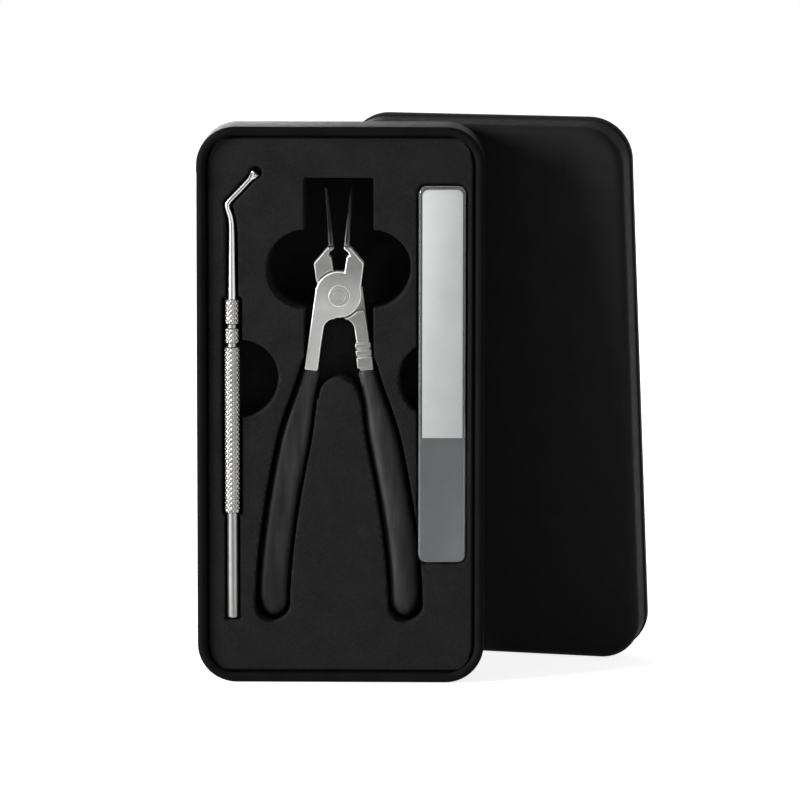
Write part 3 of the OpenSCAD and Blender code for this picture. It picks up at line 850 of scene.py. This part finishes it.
@dataclass
class Nippers:
    """Beaked nippers with a lap joint: two levers, two dipped grips, the rivet and its spring."""

    pivot: Array
    lever: Lever = field(default_factory=Lever)
    rings: int = 150
    sides: int = 48
    ground_edge: float = 0.3
    rivet_edge: float = 0.06

    def opened(self, points: Array, front: bool) -> Array:
        """Opens a lever that was drawn closed and puts it to the pivot.

        Args:
            points: points with the pivot at the origin.
            front: whether it is the front lever, whose handle is at the left.

        Returns:
            The points in the set's frame.
        """
        turned = points if front else points * [-1, -1, 1]
        swing = radians(self.lever.swing if front else -self.lever.swing)
        return moved(turned, Matrix.Rotation(swing, 4, "Y")) + self.pivot

    def grip(self, front: bool) -> Surface:
        """Builds one dipped grip: soft-cornered ovals carried along the bow.

        A ring's point at the turn a is the bow's point plus the side vector times
        sign(cos a) |cos a|^q times the half width, and sign(sin a) |sin a|^q times the half
        thickness in depth. Towards the end both fall off as a quarter ellipse, earlier on the
        outer side, and at the mouth a small rolled lip turns in to the shank.

        Args:
            front: whether it is the front lever's grip.

        Returns:
            The closed surface.
        """
        lever = self.lever
        share = 1 - (1 - np.linspace(0, 1, self.rings)) ** 1.7
        outer, inner = lever.fall(share, lever.outer_tip), lever.fall(share, lever.inner_tip)
        lip = 0.9 + 0.1 * np.sqrt(np.clip(share / 0.008, 0, 1))
        squareness = 0.72 + 0.1 * smooth_step((share - 0.2) / 0.5)
        turn = np.linspace(0, 2 * pi, self.sides, endpoint=False)
        wave = np.cos(turn), np.sin(turn)
        across, deep = (np.sign(part)[None, :] * np.abs(part)[None, :] ** squareness[:, None]
                        for part in wave)
        scale = np.where(across > 0, outer[:, None], inner[:, None])
        across = across * scale * (lever.half_width(share) * lip)[:, None]
        deep = deep * (lever.half_thickness(share) * inner * lip)[:, None]
        line = lever.bow(share)[:, None, :] + lever.side(share)[:, None, :] * across[..., None]
        level = np.minimum(line[..., 1], -lever.shank - 0.04)
        points = np.stack([line[..., 0], deep, level], axis=-1)
        rings = self.opened(points.reshape(-1, 3), front).reshape(points.shape)
        return Surface().tube(rings, close_end=False)

    def build(self) -> None:
        """Builds the grips and dresses the levers, the rivet and the spring."""
        height = float(self.pivot[2])
        front = GroundSteel("front_steel", (0.88, 0.875, 0.865), (0.8, 0.795, 0.785), 0.34,
                            pivot_height=height, painted_jaw_level=0.52)
        # The rear lever's steel is a darker copy of the front lever's, a painted shade, and its jaw
        # level above 1 paints light on its jaws.
        rear = GroundSteel("rear_steel_painted_shade", (0.46, 0.455, 0.45), (0.37, 0.365, 0.36), 0.36,
                           pivot_height=height, painted_jaw_level=1.08)
        for steel, side in ((front, "front"), (rear, "rear")):
            node = f"nipper_{side}_lever"
            forging = bevelled_copy(node, f"{side}_forging", self.ground_edge)
            show(forging, f"{side}_lever", steel.make(), (node,))
        # Each grip's body, the side that faces the other grip, and the slopes of its painted sheen:
        grips = (("nipper_left_grip", "front_lever", 1, (-0.3, 0.4)),
                 ("nipper_right_grip", "rear_lever", -1, (-0.5, 0.35)))
        for node, body, inner, painted_sheen in grips:
            skin = self.grip(inner > 0).build(f"{node}_skin")
            vinyl = DippedVinyl(f"{node}_vinyl", inner, painted_sheen)
            show(skin, body, vinyl.make(), (node,))
        place = tuple(self.pivot)
        rivet = TurnedSteel("rivet_steel", (0.64, 0.635, 0.63), place, roughness=0.36)
        heads = bevelled_copy("nipper_rivet", "rivet_heads", self.rivet_edge, 1, 1.0)
        show(heads, "nipper_pivot", rivet.make(), ("nipper_rivet",))
        dress_node("nipper_spring", TurnedSteel("spring_steel", (0.42, 0.42, 0.43), place).make())


# Nail lifter --------------------------------------------------------------------------------

@dataclass
class Lifter:
    """The nail lifter: a knurled handle, a plain rod and a bent hook with a flared scoop."""

    handle_box: Box
    rod_box: Box
    grooves: tuple[float, float] = (8.7, 14.8)
    groove_width: float = 1.2
    groove_depth: float = 0.7
    collar_radius: float = 2.2
    knurl_pitch: float = 1.6
    knurl_depth: float = 0.33
    stem: float = 21.4
    stem_radius: float = 1.4
    arm_radius: float = 0.87
    arm: float = 13.4
    arm_angle: float = 42.5
    scoop: float = 2.7
    scoop_half: float = 1.4
    knurled: GroundSteel = GroundSteel(
        "knurled_steel", (0.37, 0.365, 0.36), (0.22, 0.217, 0.213), 0.34, Grain.EVEN)
    polished: GroundSteel = GroundSteel(
        "polished_steel", (0.58, 0.58, 0.575), (0.46, 0.46, 0.455), 0.22)
    satin: GroundSteel = GroundSteel(
        "satin_steel", (0.33, 0.33, 0.325), (0.26, 0.26, 0.255), 0.36)

    def standing(self, box: Box, foot: float) -> Array:
        """Returns the place of a piece that is built about its own axis, at the foot's height."""
        return np.array([box.middle[0], box.middle[1], foot])

    def handle(self) -> Surface:
        """Builds the knurled handle as a turned grid, thinner above its lower groove.

        The radius is the bar's, less the knurl's depth times the distance from the nearest of
        two crossing sets of helical grooves, less the two turned grooves, and it falls off at
        the chamfered ends.

        Returns:
            The closed surface.
        """
        length = self.handle_box.size[2]
        radius = self.handle_box.size[0] / 2
        teeth = round(2 * pi * radius / self.knurl_pitch)
        columns = teeth * 8
        rows = int(length / self.knurl_pitch * 8) + 1
        turn = np.linspace(0, 2 * pi, columns, endpoint=False)[None, :]
        height = np.linspace(0, length, rows)[:, None]
        around = turn * teeth / (2 * pi)
        along = height / self.knurl_pitch
        first = np.abs((around + along) % 1 - 0.5) * 2
        second = np.abs((around - along) % 1 - 0.5) * 2
        knurl = np.minimum(1, 1.5 * np.minimum(1 - first, 1 - second))
        near_end = np.minimum(height, length - height)
        knurl = 1 - (1 - knurl) * smooth_step((near_end - 0.2) / 0.4)
        above_groove = height - length + self.grooves[1]
        bar = radius + (self.collar_radius - radius) * smooth_step(above_groove / 0.3)
        size = bar - self.knurl_depth * (1 - knurl) * np.ones_like(turn)
        for drop in self.grooves:
            away = np.abs(height - (length - drop)) - self.groove_width / 2
            cut = smooth_step((0.25 - away) / 0.3)
            size = size * (1 - cut) + (self.collar_radius - self.groove_depth) * cut
        size = size - 0.35 * (1 - smooth_step(near_end / 0.5))
        points = np.stack([size * np.cos(turn), size * np.sin(turn),
                           height * np.ones_like(turn)], axis=-1)
        return Surface().tube(points + self.standing(self.handle_box, self.handle_box.low[2]))

    def rod(self) -> Surface:
        """Builds the plain rod, a turned bar with a rounded lower end.

        Returns:
            The closed surface.
        """
        length = self.handle_box.low[2] - self.rod_box.low[2]
        radius = self.rod_box.size[0] / 2
        soft = 0.45
        bottom = [(0.0, 0.0)] + arc((radius - soft, soft), soft, -90, 0, 6)
        outline = np.array(bottom + [(radius, length * share) for share in (0.25, 0.5, 0.75, 1.0)])
        outline = np.vstack([outline, [[0.4, length + 0.3]]])
        turn = np.linspace(0, 2 * pi, 48, endpoint=False)
        points = np.stack([outline[:, :1] * np.cos(turn), outline[:, :1] * np.sin(turn),
                           np.repeat(outline[:, 1:], len(turn), axis=1)], axis=-1)
        place = self.standing(self.rod_box, self.rod_box.low[2])
        return Surface().tube(points + place, close_start=False)

    def hook(self) -> Surface:
        """Builds the hook: rings carried along its bent line, flared into a scoop at the end.

        The line is straight, leans a little left, turns through a round elbow and runs on as
        the arm. The radius falls evenly to the elbow. Over the last stretch the ring grows
        across the arm, thins in depth and is hollowed on its front.

        Returns:
            The closed surface.
        """
        lean = radians(self.arm_angle)
        stem_end = np.array([0, self.stem])
        elbow = stem_end + [-1.3, 9.4]
        tip = elbow + self.arm * np.array([sin(lean), cos(lean)])
        knots = np.array([[0, -0.3], [0, self.stem * 0.5], stem_end, stem_end + [-0.3, 4.5],
                          elbow + [-0.1, -1.1], elbow + [0.55, 0.75], elbow * 0.5 + tip * 0.5, tip])
        line, share = smooth_line(knots, 150)
        run = np.gradient(line, axis=0)
        run /= np.linalg.norm(run, axis=1, keepdims=True)
        left = np.stack([-run[:, 1], run[:, 0]], axis=-1)
        at_elbow = share / share[-1]
        slimmed = np.clip(at_elbow / 0.68, 0, 1)
        radius = self.stem_radius + (self.arm_radius - self.stem_radius) * slimmed
        from_tip = share[-1] - share
        flare = np.clip((self.scoop - from_tip) / (self.scoop - 0.7), 0, 1)
        half = radius + (self.scoop_half - radius) * flare
        deep = radius * (1 - 0.42 * flare)
        end = np.sqrt(np.clip(from_tip / 0.3, 0, 1))
        turn = np.linspace(0, 2 * pi, 36, endpoint=False)
        across = np.cos(turn)[None, :] * (half * (0.85 + 0.15 * end))[:, None]
        depth = np.sin(turn)[None, :] * (deep * end)[:, None]
        front = np.clip(-np.sin(turn), 0, 1)[None, :]
        hollow = (flare * 0.32)[:, None] * front
        bar = smooth_step((0.9 - from_tip) / 0.3)[:, None] * front * 0.5
        depth = depth + (hollow - bar * end[:, None]) * (1 - (across / half[:, None]) ** 2)
        flat = line[:, None, :] + left[:, None, :] * across[..., None]
        points = np.stack([flat[..., 0], depth, flat[..., 1]], axis=-1)
        return Surface().tube(points + self.standing(self.handle_box, self.handle_box.high[2]))

    def build(self) -> None:
        """Builds the lifter's three pieces."""
        pieces = (
            (self.handle(), "knurled_handle", 60, self.knurled, "knurled_steel", "lifter_handle"),
            (self.rod(), "plain_rod", 35, self.satin, "polished_steel", "lifter_rod"),
            (self.hook(), "bent_hook", 50, self.polished, "polished_steel", "lifter_hook"))
        for surface, name, sharp, steel, slot, node in pieces:
            show(surface.build(name, sharp), "lifter", steel.make(), (node,))


def smooth_line(knots: Array, count: int) -> tuple[Array, Array]:
    """Runs a smooth curve through the knots, as Catmull and Rom do.

    Args:
        knots: the points that it passes, as rows.
        count: number of points wanted.

    Returns:
        Points spaced evenly along the curve, and their distances from its start.
    """
    ends = np.vstack([2 * knots[0] - knots[1], knots, 2 * knots[-1] - knots[-2]])
    step = np.linspace(0, 1, 40, endpoint=False)[:, None]
    before, first, second, after = (ends[None, index:index + len(knots) - 1] for index in range(4))
    step = step[:, None, :]
    curve = 0.5 * (2 * first + (second - before) * step
                   + (2 * before - 5 * first + 4 * second - after) * step ** 2
                   + (3 * first - before - 3 * second + after) * step ** 3)
    curve = np.vstack([curve.transpose(1, 0, 2).reshape(-1, knots.shape[1]), knots[-1:]])
    runs = np.concatenate([[0], np.cumsum(np.linalg.norm(np.diff(curve, axis=0), axis=1))])
    even = np.linspace(0, runs[-1], count)
    return np.stack([np.interp(even, runs, column) for column in curve.T], axis=-1), even


# Glass file ---------------------------------------------------------------------------------

def soft_slab(middle: Array, size: Array, corner: float, soft: float, steps: int = 8,
              low_corner: float | None = None) -> Surface:
    """Builds a flat plate with round corners and softened edges, standing in the X-Z plane.

    Each ring is a rounded rectangle, drawn in by soft times (1 - cos e) while the depth follows
    soft times sin e, for e over a quarter turn at the front edge and at the back edge.

    Args:
        middle: the plate's middle.
        size: width, depth and height.
        corner: corner radius seen from the front.
        soft: radius of the edges.
        steps: rings in an edge.
        low_corner: corner radius at the lower end, if it is another.

    Returns:
        The closed surface.
    """
    bend = np.linspace(0, pi / 2, steps + 1)
    inset = np.concatenate([soft * (1 - np.sin(bend)), soft * (1 - np.cos(bend))])
    depth = np.concatenate([-size[1] / 2 + soft * (1 - np.cos(bend)),
                            size[1] / 2 - soft * (1 - np.sin(bend))])
    turn_steps = 12
    angle = corner_turns(turn_steps)
    low_corner = corner if low_corner is None else low_corner
    corners = np.array([corner, corner, low_corner, low_corner])
    middles = np.repeat(CORNERS * (size[[0, 2]] / 2 - corners[:, None]), turn_steps + 1, axis=0)
    radius = np.repeat(corners, turn_steps + 1)[None, :] - inset[:, None]
    points = np.stack([middles[None, :, 0] + radius * np.cos(angle),
                       np.broadcast_to(depth[:, None], (len(depth), len(angle))),
                       middles[None, :, 1] + radius * np.sin(angle)], axis=-1)
    return Surface().tube(points + middle)


@dataclass
class GlassFile:
    """A glass nail file: a clear plate whose upper part is etched on both faces."""

    box: Box
    corner: float = 2.6
    soft: float = 0.6
    border: float = 1.2
    right_border: float = 0.9
    etched_from: float = 40.5
    etch_rise: float = 0.04

    def build(self) -> None:
        """Builds the clear plate and its two etched fields."""
        plate = soft_slab(self.box.middle, self.box.size, self.corner, self.soft)
        show(plate.build("glass_plate"), "file", ClearGlass().make(),
             ("glass_file",))
        etched = EtchedGlass().make()
        low = np.array([self.box.low[0] + self.border, 0, self.box.low[2] + self.etched_from])
        high = np.array([self.box.high[0] - self.right_border, 0, self.box.high[2] - self.border])
        faces = {"etched_front": self.box.low[1], "etched_back": self.box.high[1]}
        for name, face in faces.items():
            middle = (low + high) / 2
            middle[1] = face
            size = high - low
            size[1] = 2 * self.etch_rise
            field_plate = soft_slab(middle, size, self.corner - self.border / 2, self.etch_rise, 2,
                                    2 * self.etch_rise)
            show(field_plate.build(name), "file", etched)


# Foam ---------------------------------------------------------------------------------------

@dataclass
class Foam:
    """The cut foam block with its tool slots, and the thin sheet behind it."""

    block: Box
    sheet: Box
    lever: Lever
    pivot: Array
    handle: Box
    rod: Box
    file: Box
    corner: float = 11.7
    soft: float = 0.6
    pitch: float = 0.41
    edge_band: float = 2.4
    edge_sunk: float = 2.4
    slot_gap: float = 0.3
    grip_gap: float = 0.4
    cavity_half: float = 10.7
    cavity_top: float = 37.6
    cavity_depth: float = 19.5
    channel_depth: float = 9.2
    lobe_radius: float = 12.1
    lobe_half: float = 22.7
    lobe_rise: float = 8.7
    island_half: float = 6.8
    island_drop: float = 26.0
    lifter_depth: float = 3.7
    file_depth: float = 3.3
    notch_radius: float = 12.0
    notch_depth: float = 9.0
    notch_height: float = 98.7
    lifter_notch_in: float = 2.5
    file_notch_in: float = 1.4
    hook_line: tuple[Point, ...] = ((0, 0), (0, 21.4), (-0.3, 25.9), (-1.3, 30.8), (7.75, 40.68))
    hook_halves: tuple[float, ...] = (1.7, 1.45, 1.25, 1.05, 1.05)
    scoop_radius: float = 1.6
    finish: CutFoam = CutFoam()

    def head_distance(self, x: Array, z: Array) -> Array:
        """Returns the distance outside the cavity round the nippers' head."""
        px, _, pz = self.pivot
        well = box_distance(x, z, (px - self.cavity_half, pz - 4),
                            (px + self.cavity_half, pz + self.cavity_top), 0.8)
        lobe_z = pz + self.lobe_rise
        reach = self.lobe_half - self.lobe_radius
        lobes = [np.hypot(x - px - side * reach, z - lobe_z) - self.lobe_radius
                 for side in (-1, 1)]
        bridge = box_distance(x, z, (px - reach, lobe_z - self.lobe_radius),
                              (px + reach, lobe_z + self.lobe_radius), 0.5)
        return np.minimum.reduce([well, *lobes, bridge])

    def channel_distance(self, x: Array, z: Array) -> Array:
        """Returns the distance outside the channel under the head and round the two grips."""
        px, _, pz = self.pivot
        base = pz - self.island_drop - self.island_half
        channel = box_distance(x, z, (px - self.cavity_half, base),
                               (px + self.cavity_half, pz), 0.5)
        island = np.hypot(x - px, z - base) - self.island_half
        channel = np.maximum(channel, -island)
        parts = [channel]
        share = np.linspace(-0.08, 0.945, 100)
        line = self.lever.bow(share)
        swing = radians(self.lever.swing)
        for side in (1, -1):
            run = line * [side, 1]
            turned_x = px + run[:, 0] * cos(swing) + side * run[:, 1] * sin(swing)
            turned_z = pz + run[:, 1] * cos(swing) - side * run[:, 0] * sin(swing)
            mouth = self.lever.mouth_half + self.grip_gap
            neck = self.lever.shank_half + self.slot_gap
            half = np.where(share < 0, mouth + (mouth - neck) * share / 0.08,
                            self.lever.half_width(share) + self.grip_gap)
            parts.append(track_distance(x, z, np.stack([turned_x, turned_z], axis=-1), half))
        return np.minimum.reduce(parts)

    def lifter_distance(self, x: Array, z: Array) -> Array:
        """Returns the distance outside the lifter's slot."""
        lx = self.handle.middle[0]
        top = self.handle.high[2]
        rod_half = self.rod.size[0] / 2 + self.slot_gap
        half = self.handle.size[0] / 2 + self.slot_gap
        rod = box_distance(x, z, (lx - rod_half, self.rod.low[2] - self.slot_gap),
                           (lx + rod_half, self.handle.low[2] + 1), 0.3)
        handle = box_distance(x, z, (lx - half, self.handle.low[2] - self.slot_gap),
                              (lx + half, top + self.slot_gap), 0.5)
        line = np.array(self.hook_line) + [lx, top]
        knots = np.arange(len(line))
        dense = np.linspace(0, knots[-1], 120)
        track = np.stack([np.interp(dense, knots, column) for column in line.T], axis=-1)
        hook = track_distance(x, z, track, np.interp(dense, knots, self.hook_halves))
        scoop = np.hypot(x - line[-1, 0], z - line[-1, 1]) - self.scoop_radius
        return np.minimum.reduce([rod, handle, hook, scoop])

    def notch_distance(self, x: Array, z: Array) -> Array:
        """Returns the distance outside the half-round finger notches."""
        left = self.handle.middle[0]
        rise = z - self.notch_height
        first = np.hypot(x - left - self.lifter_notch_in, rise) - self.notch_radius
        right = self.file.middle[0] - self.file_notch_in
        second = np.hypot(x - right, rise) - self.notch_radius
        return np.minimum(np.maximum(first, left - x), np.maximum(second, x - right))

    def face(self) -> tuple[Array, Array, Array]:
        """Works out the foam's face as a grid of depths over the block's outline.

        Each slot sinks the face by its depth, with a soft shoulder of the width `soft` outside
        its outline, and the deepest slot counts. A band along the block's edge is pressed down
        too.

        Returns:
            The grid's X, Z and the depth below the foam's face.
        """
        width, _, height = self.block.size
        rows = int(height / self.pitch) + 1
        columns = int(width / self.pitch) + 1
        level = np.linspace(0, height, rows)[:, None]
        end = np.minimum(level, height - level)
        into = np.clip(self.corner - end, 0, self.corner)
        half = width / 2 - self.corner + np.sqrt(np.clip(self.corner ** 2 - into ** 2, 0, None))
        x = half * np.linspace(-1, 1, columns)[None, :] + self.block.middle[0]
        z = level + self.block.low[2] + np.zeros_like(x)
        file_low = self.file.low - self.slot_gap
        file_high = self.file.high + self.slot_gap
        file_slot = box_distance(x, z, (file_low[0], file_low[2]),
                                 (file_high[0], file_high[2]), 3.0)
        slots = ((self.head_distance(x, z), self.cavity_depth),
                 (self.channel_distance(x, z), self.channel_depth),
                 (self.lifter_distance(x, z), self.lifter_depth),
                 (file_slot, self.file_depth),
                 (self.notch_distance(x, z), self.notch_depth))
        depth = np.zeros_like(x)
        for away, sunk in slots:
            wall = smooth_step(1 - away / self.soft)
            rounded = 0.16 * np.clip(1 - away / (3 * self.soft), 0, 1) ** 2
            depth = np.maximum(depth, sunk * wall + rounded)
        border = np.minimum(half - np.abs(x - self.block.middle[0]), end)
        pressed = smooth_step(1 - (border - self.edge_band) / 0.8)
        depth = np.maximum(depth, self.edge_sunk * pressed)
        return x, z, depth

    def build(self) -> None:
        """Builds the block and the sheet behind it."""
        x, z, depth = self.face()
        front = np.stack([x, self.block.low[1] + depth, z], axis=-1)
        back = np.stack([x, np.full_like(x, self.block.high[1]), z], axis=-1)
        surface = Surface()
        front_ids = surface.grid(front)
        rim, edge = (np.concatenate([part[0, :-1], part[:-1, -1], part[-1, :0:-1], part[:0:-1, 0]])
                     for part in (front_ids, back))
        back_ids = surface.count + np.arange(len(edge))
        surface.points.append(edge)
        surface.count += len(edge)
        surface.faces.append(np.stack([rim, np.roll(rim, -1), np.roll(back_ids, -1), back_ids],
                                      axis=-1))
        surface.face(back_ids[::-1])
        foam = self.finish.make()
        block = surface.build("foam_block", 70)
        show(block, "case", foam, ("foam_insert",))
        backing = soft_slab(self.sheet.middle, self.sheet.size, self.corner - 2, 0.3, 3)
        sheet = backing.build("foam_sheet")
        show(sheet, "case", foam, ("foam_backing",))


def box_distance(x: Array, z: Array, low: Point, high: Point, corner: float) -> Array:
    """Returns the distance outside a rectangle with round corners, negative inside it."""
    away_x = np.abs(x - (low[0] + high[0]) / 2) - (high[0] - low[0]) / 2 + corner
    away_z = np.abs(z - (low[1] + high[1]) / 2) - (high[1] - low[1]) / 2 + corner
    outside = np.hypot(np.maximum(away_x, 0), np.maximum(away_z, 0))
    return outside + np.minimum(np.maximum(away_x, away_z), 0) - corner


def track_distance(x: Array, z: Array, line: Array, half: Array) -> Array:
    """Returns the distance outside a track of changing half width along a line of points."""
    nearest = np.full(x.shape, np.inf)
    for point, width in zip(line, half):
        nearest = np.minimum(nearest, np.hypot(x - point[0], z - point[1]) - width)
    return nearest


# Studio -------------------------------------------------------------------------------------

@dataclass(frozen=True)
class Lamp:
    """A square soft lamp: its place and aim, its side in millimetres and its power in watts."""

    name: str
    place: Place
    aim: Place
    side: float
    power: float

    def hang(self) -> None:
        """Adds the lamp to the scene, turned to its aim."""
        data = bpy.data.lights.new(self.name, "AREA")
        data.shape = "SQUARE"
        data.size = self.side * MM
        data.energy = self.power
        start = Vector(self.place) * MM
        run = Vector(self.aim) * MM - start
        turn = run.to_track_quat("-Z", "Y").to_matrix().to_4x4()
        placed(self.name, data).matrix_world = Matrix.Translation(start) @ turn


@dataclass
class Studio:
    """The camera at the photograph's angle, soft lamps, a pale floor and a white background."""

    distance: float = 1700.0
    sideways: float = 46.2
    height: float = 316.8
    pitch: float = 7.580
    yaw: float = -0.920
    roll: float = 0.061
    focal_px: float = 5303.5
    frame_px: float = 800.0
    sensor: float = 36.0
    floor_half: float = 2500.0
    floor_drop: float = 0.2
    world_level: float = 0.15
    glow: float = 0.82
    far_glow: float = 1.05
    glow_ring: tuple[float, float] = (0.09, 0.3)
    floor_colours: tuple[Colour, Colour] = ((0.79, 0.79, 0.79), (0.81, 0.81, 0.81))
    floor_patch: float = 300.0
    set_depth: float = 25.0
    lamps: tuple[Lamp, ...] = (Lamp("key", (-1500, -700, 560), (0, 0, 90), 600, 44),
                               Lamp("fill", (1000, -1100, 500), (20, 0, 90), 900, 3),
                               Lamp("back", (-500, 1700, 260), (0, 0, 90), 900, 22))
    dark_half: float = 9.0
    dark_fade: float = 12.0
    dark_level: float = 0.12

    def camera(self) -> None:
        """Sets the camera from its place, its turns and its focal length in pixels."""
        pitch, yaw, roll = radians(self.pitch), radians(self.yaw), radians(self.roll)
        forward = Vector((sin(yaw) * cos(pitch), cos(yaw) * cos(pitch), -sin(pitch)))
        level = Vector((cos(yaw), -sin(yaw), 0))
        up = level.cross(forward)
        right = cos(roll) * level + sin(roll) * up
        top = cos(roll) * up - sin(roll) * level
        data = bpy.data.cameras.new("camera")
        data.sensor_width = self.sensor
        data.lens = self.focal_px * self.sensor / self.frame_px
        data.clip_start = 0.05
        data.clip_end = 20
        camera = placed("camera", data)
        turn = Matrix((right, top, -forward)).transposed().to_4x4()
        place = Vector((self.sideways, -self.distance, self.height)) * MM
        camera.matrix_world = Matrix.Translation(place) @ turn
        bpy.context.scene.camera = camera

    def white_rays(self, board: Board) -> Socket:
        """Returns 1 for camera, glossy and transmission rays and 0 for all others."""
        path = board.add("ShaderNodeLightPath")
        seen = board.maths("MAXIMUM", path.outputs["Is Camera Ray"], path.outputs["Is Glossy Ray"])
        return board.maths("MAXIMUM", seen, path.outputs["Is Transmission Ray"])

    def dark_front(self, board: Board, run: Socket) -> Socket:
        """Returns how dark reflections are towards the viewer, where a studio has no white.

        Args:
            board: the floor's or the world's nodes.
            run: a vector from the set; only its direction over the ground counts.

        Returns:
            1 in a narrow wedge to the front for glossy rays, and 0 elsewhere.
        """
        x, y, _ = board.parts(run)
        aside = board.maths("ABSOLUTE", board.maths("DIVIDE", x, y))
        narrow = board.spread(aside, 1, 0, tan(radians(self.dark_half)),
                              tan(radians(self.dark_half + self.dark_fade)))
        front = board.spread(y, 1, 0, -0.03, 0)
        glossy = board.add("ShaderNodeLightPath").outputs["Is Glossy Ray"]
        return board.maths("MULTIPLY", board.maths("MULTIPLY", narrow, front), glossy)

    def world(self) -> None:
        """Makes the world white to the camera and in reflections, and a plain level elsewhere."""
        world = bpy.data.worlds.new("studio")
        world.use_nodes = True
        board = Board(world.node_tree)
        back = world.node_tree.nodes["Background"]
        back.inputs["Color"].default_value = (1, 1, 1, 1)
        level = board.spread(self.white_rays(board), self.world_level, 1, 0, 1)
        dark = self.dark_front(board, board.add("ShaderNodeTexCoord").outputs["Generated"])
        board.link(board.maths("MULTIPLY", level, board.spread(dark, 1, self.dark_level, 0, 1)),
                   back.inputs["Strength"])
        bpy.context.scene.world = world

    def floor(self) -> None:
        """Lays the pale floor. Its glow brings it to white, fully where no shadow falls."""
        surface = Surface()
        line = np.linspace(-self.floor_half, self.floor_half, 9)
        x, y = np.meshgrid(line, line)
        surface.grid(np.stack([x, y, np.full_like(x, -self.floor_drop)], axis=-1))
        floor = surface.build("floor")
        if floor.data.polygons[0].normal.z < 0:
            floor.data.flip_normals()
        recipe = Recipe("pale_floor", Roughness=0.9, Specular_IOR_Level=0.0)
        dark = recipe.spread(self.dark_front(recipe, recipe.place), 1, self.dark_level, 0, 1)
        pale = recipe.blend(recipe.noise(self.floor_patch, detail=2), *self.floor_colours)
        recipe.feed("Base Color", recipe.dimmed(pale, dark))
        recipe.shader.inputs["Emission Color"].default_value = (1, 1, 1, 1)
        x, y, _ = recipe.parts(recipe.mapped(middle=(self.sideways, self.set_depth, 0)))
        far = recipe.maths("SQRT", recipe.maths("ADD", recipe.maths("POWER", x, 2.0),
                                                recipe.maths("POWER", y, 2.0)))
        glow = recipe.maths("MULTIPLY", self.white_rays(recipe),
                            recipe.spread(far, self.glow, self.far_glow, *self.glow_ring))
        recipe.feed("Emission Strength", recipe.maths("MULTIPLY", glow, dark))
        floor.data.materials.append(recipe.material)

    def build(self) -> None:
        """Builds the whole studio."""
        bpy.context.scene.view_settings.view_transform = "Standard"
        self.camera()
        self.world()
        self.floor()
        for lamp in self.lamps:
            lamp.hang()


def main() -> None:
    pivot = Box.of("nipper_rivet").middle
    handle, rod, glass = Box.of("lifter_handle"), Box.of("lifter_rod"), Box.of("glass_file")
    Studio().build()
    Tin(Box.of("tin_base")).build()
    nippers = Nippers(pivot)
    nippers.build()
    Lifter(handle, rod).build()
    GlassFile(glass).build()
    Foam(Box.of("foam_insert"), Box.of("foam_backing"), nippers.lever, pivot, handle, rod,
         glass).build()


if __name__ == "__main__":
    main()
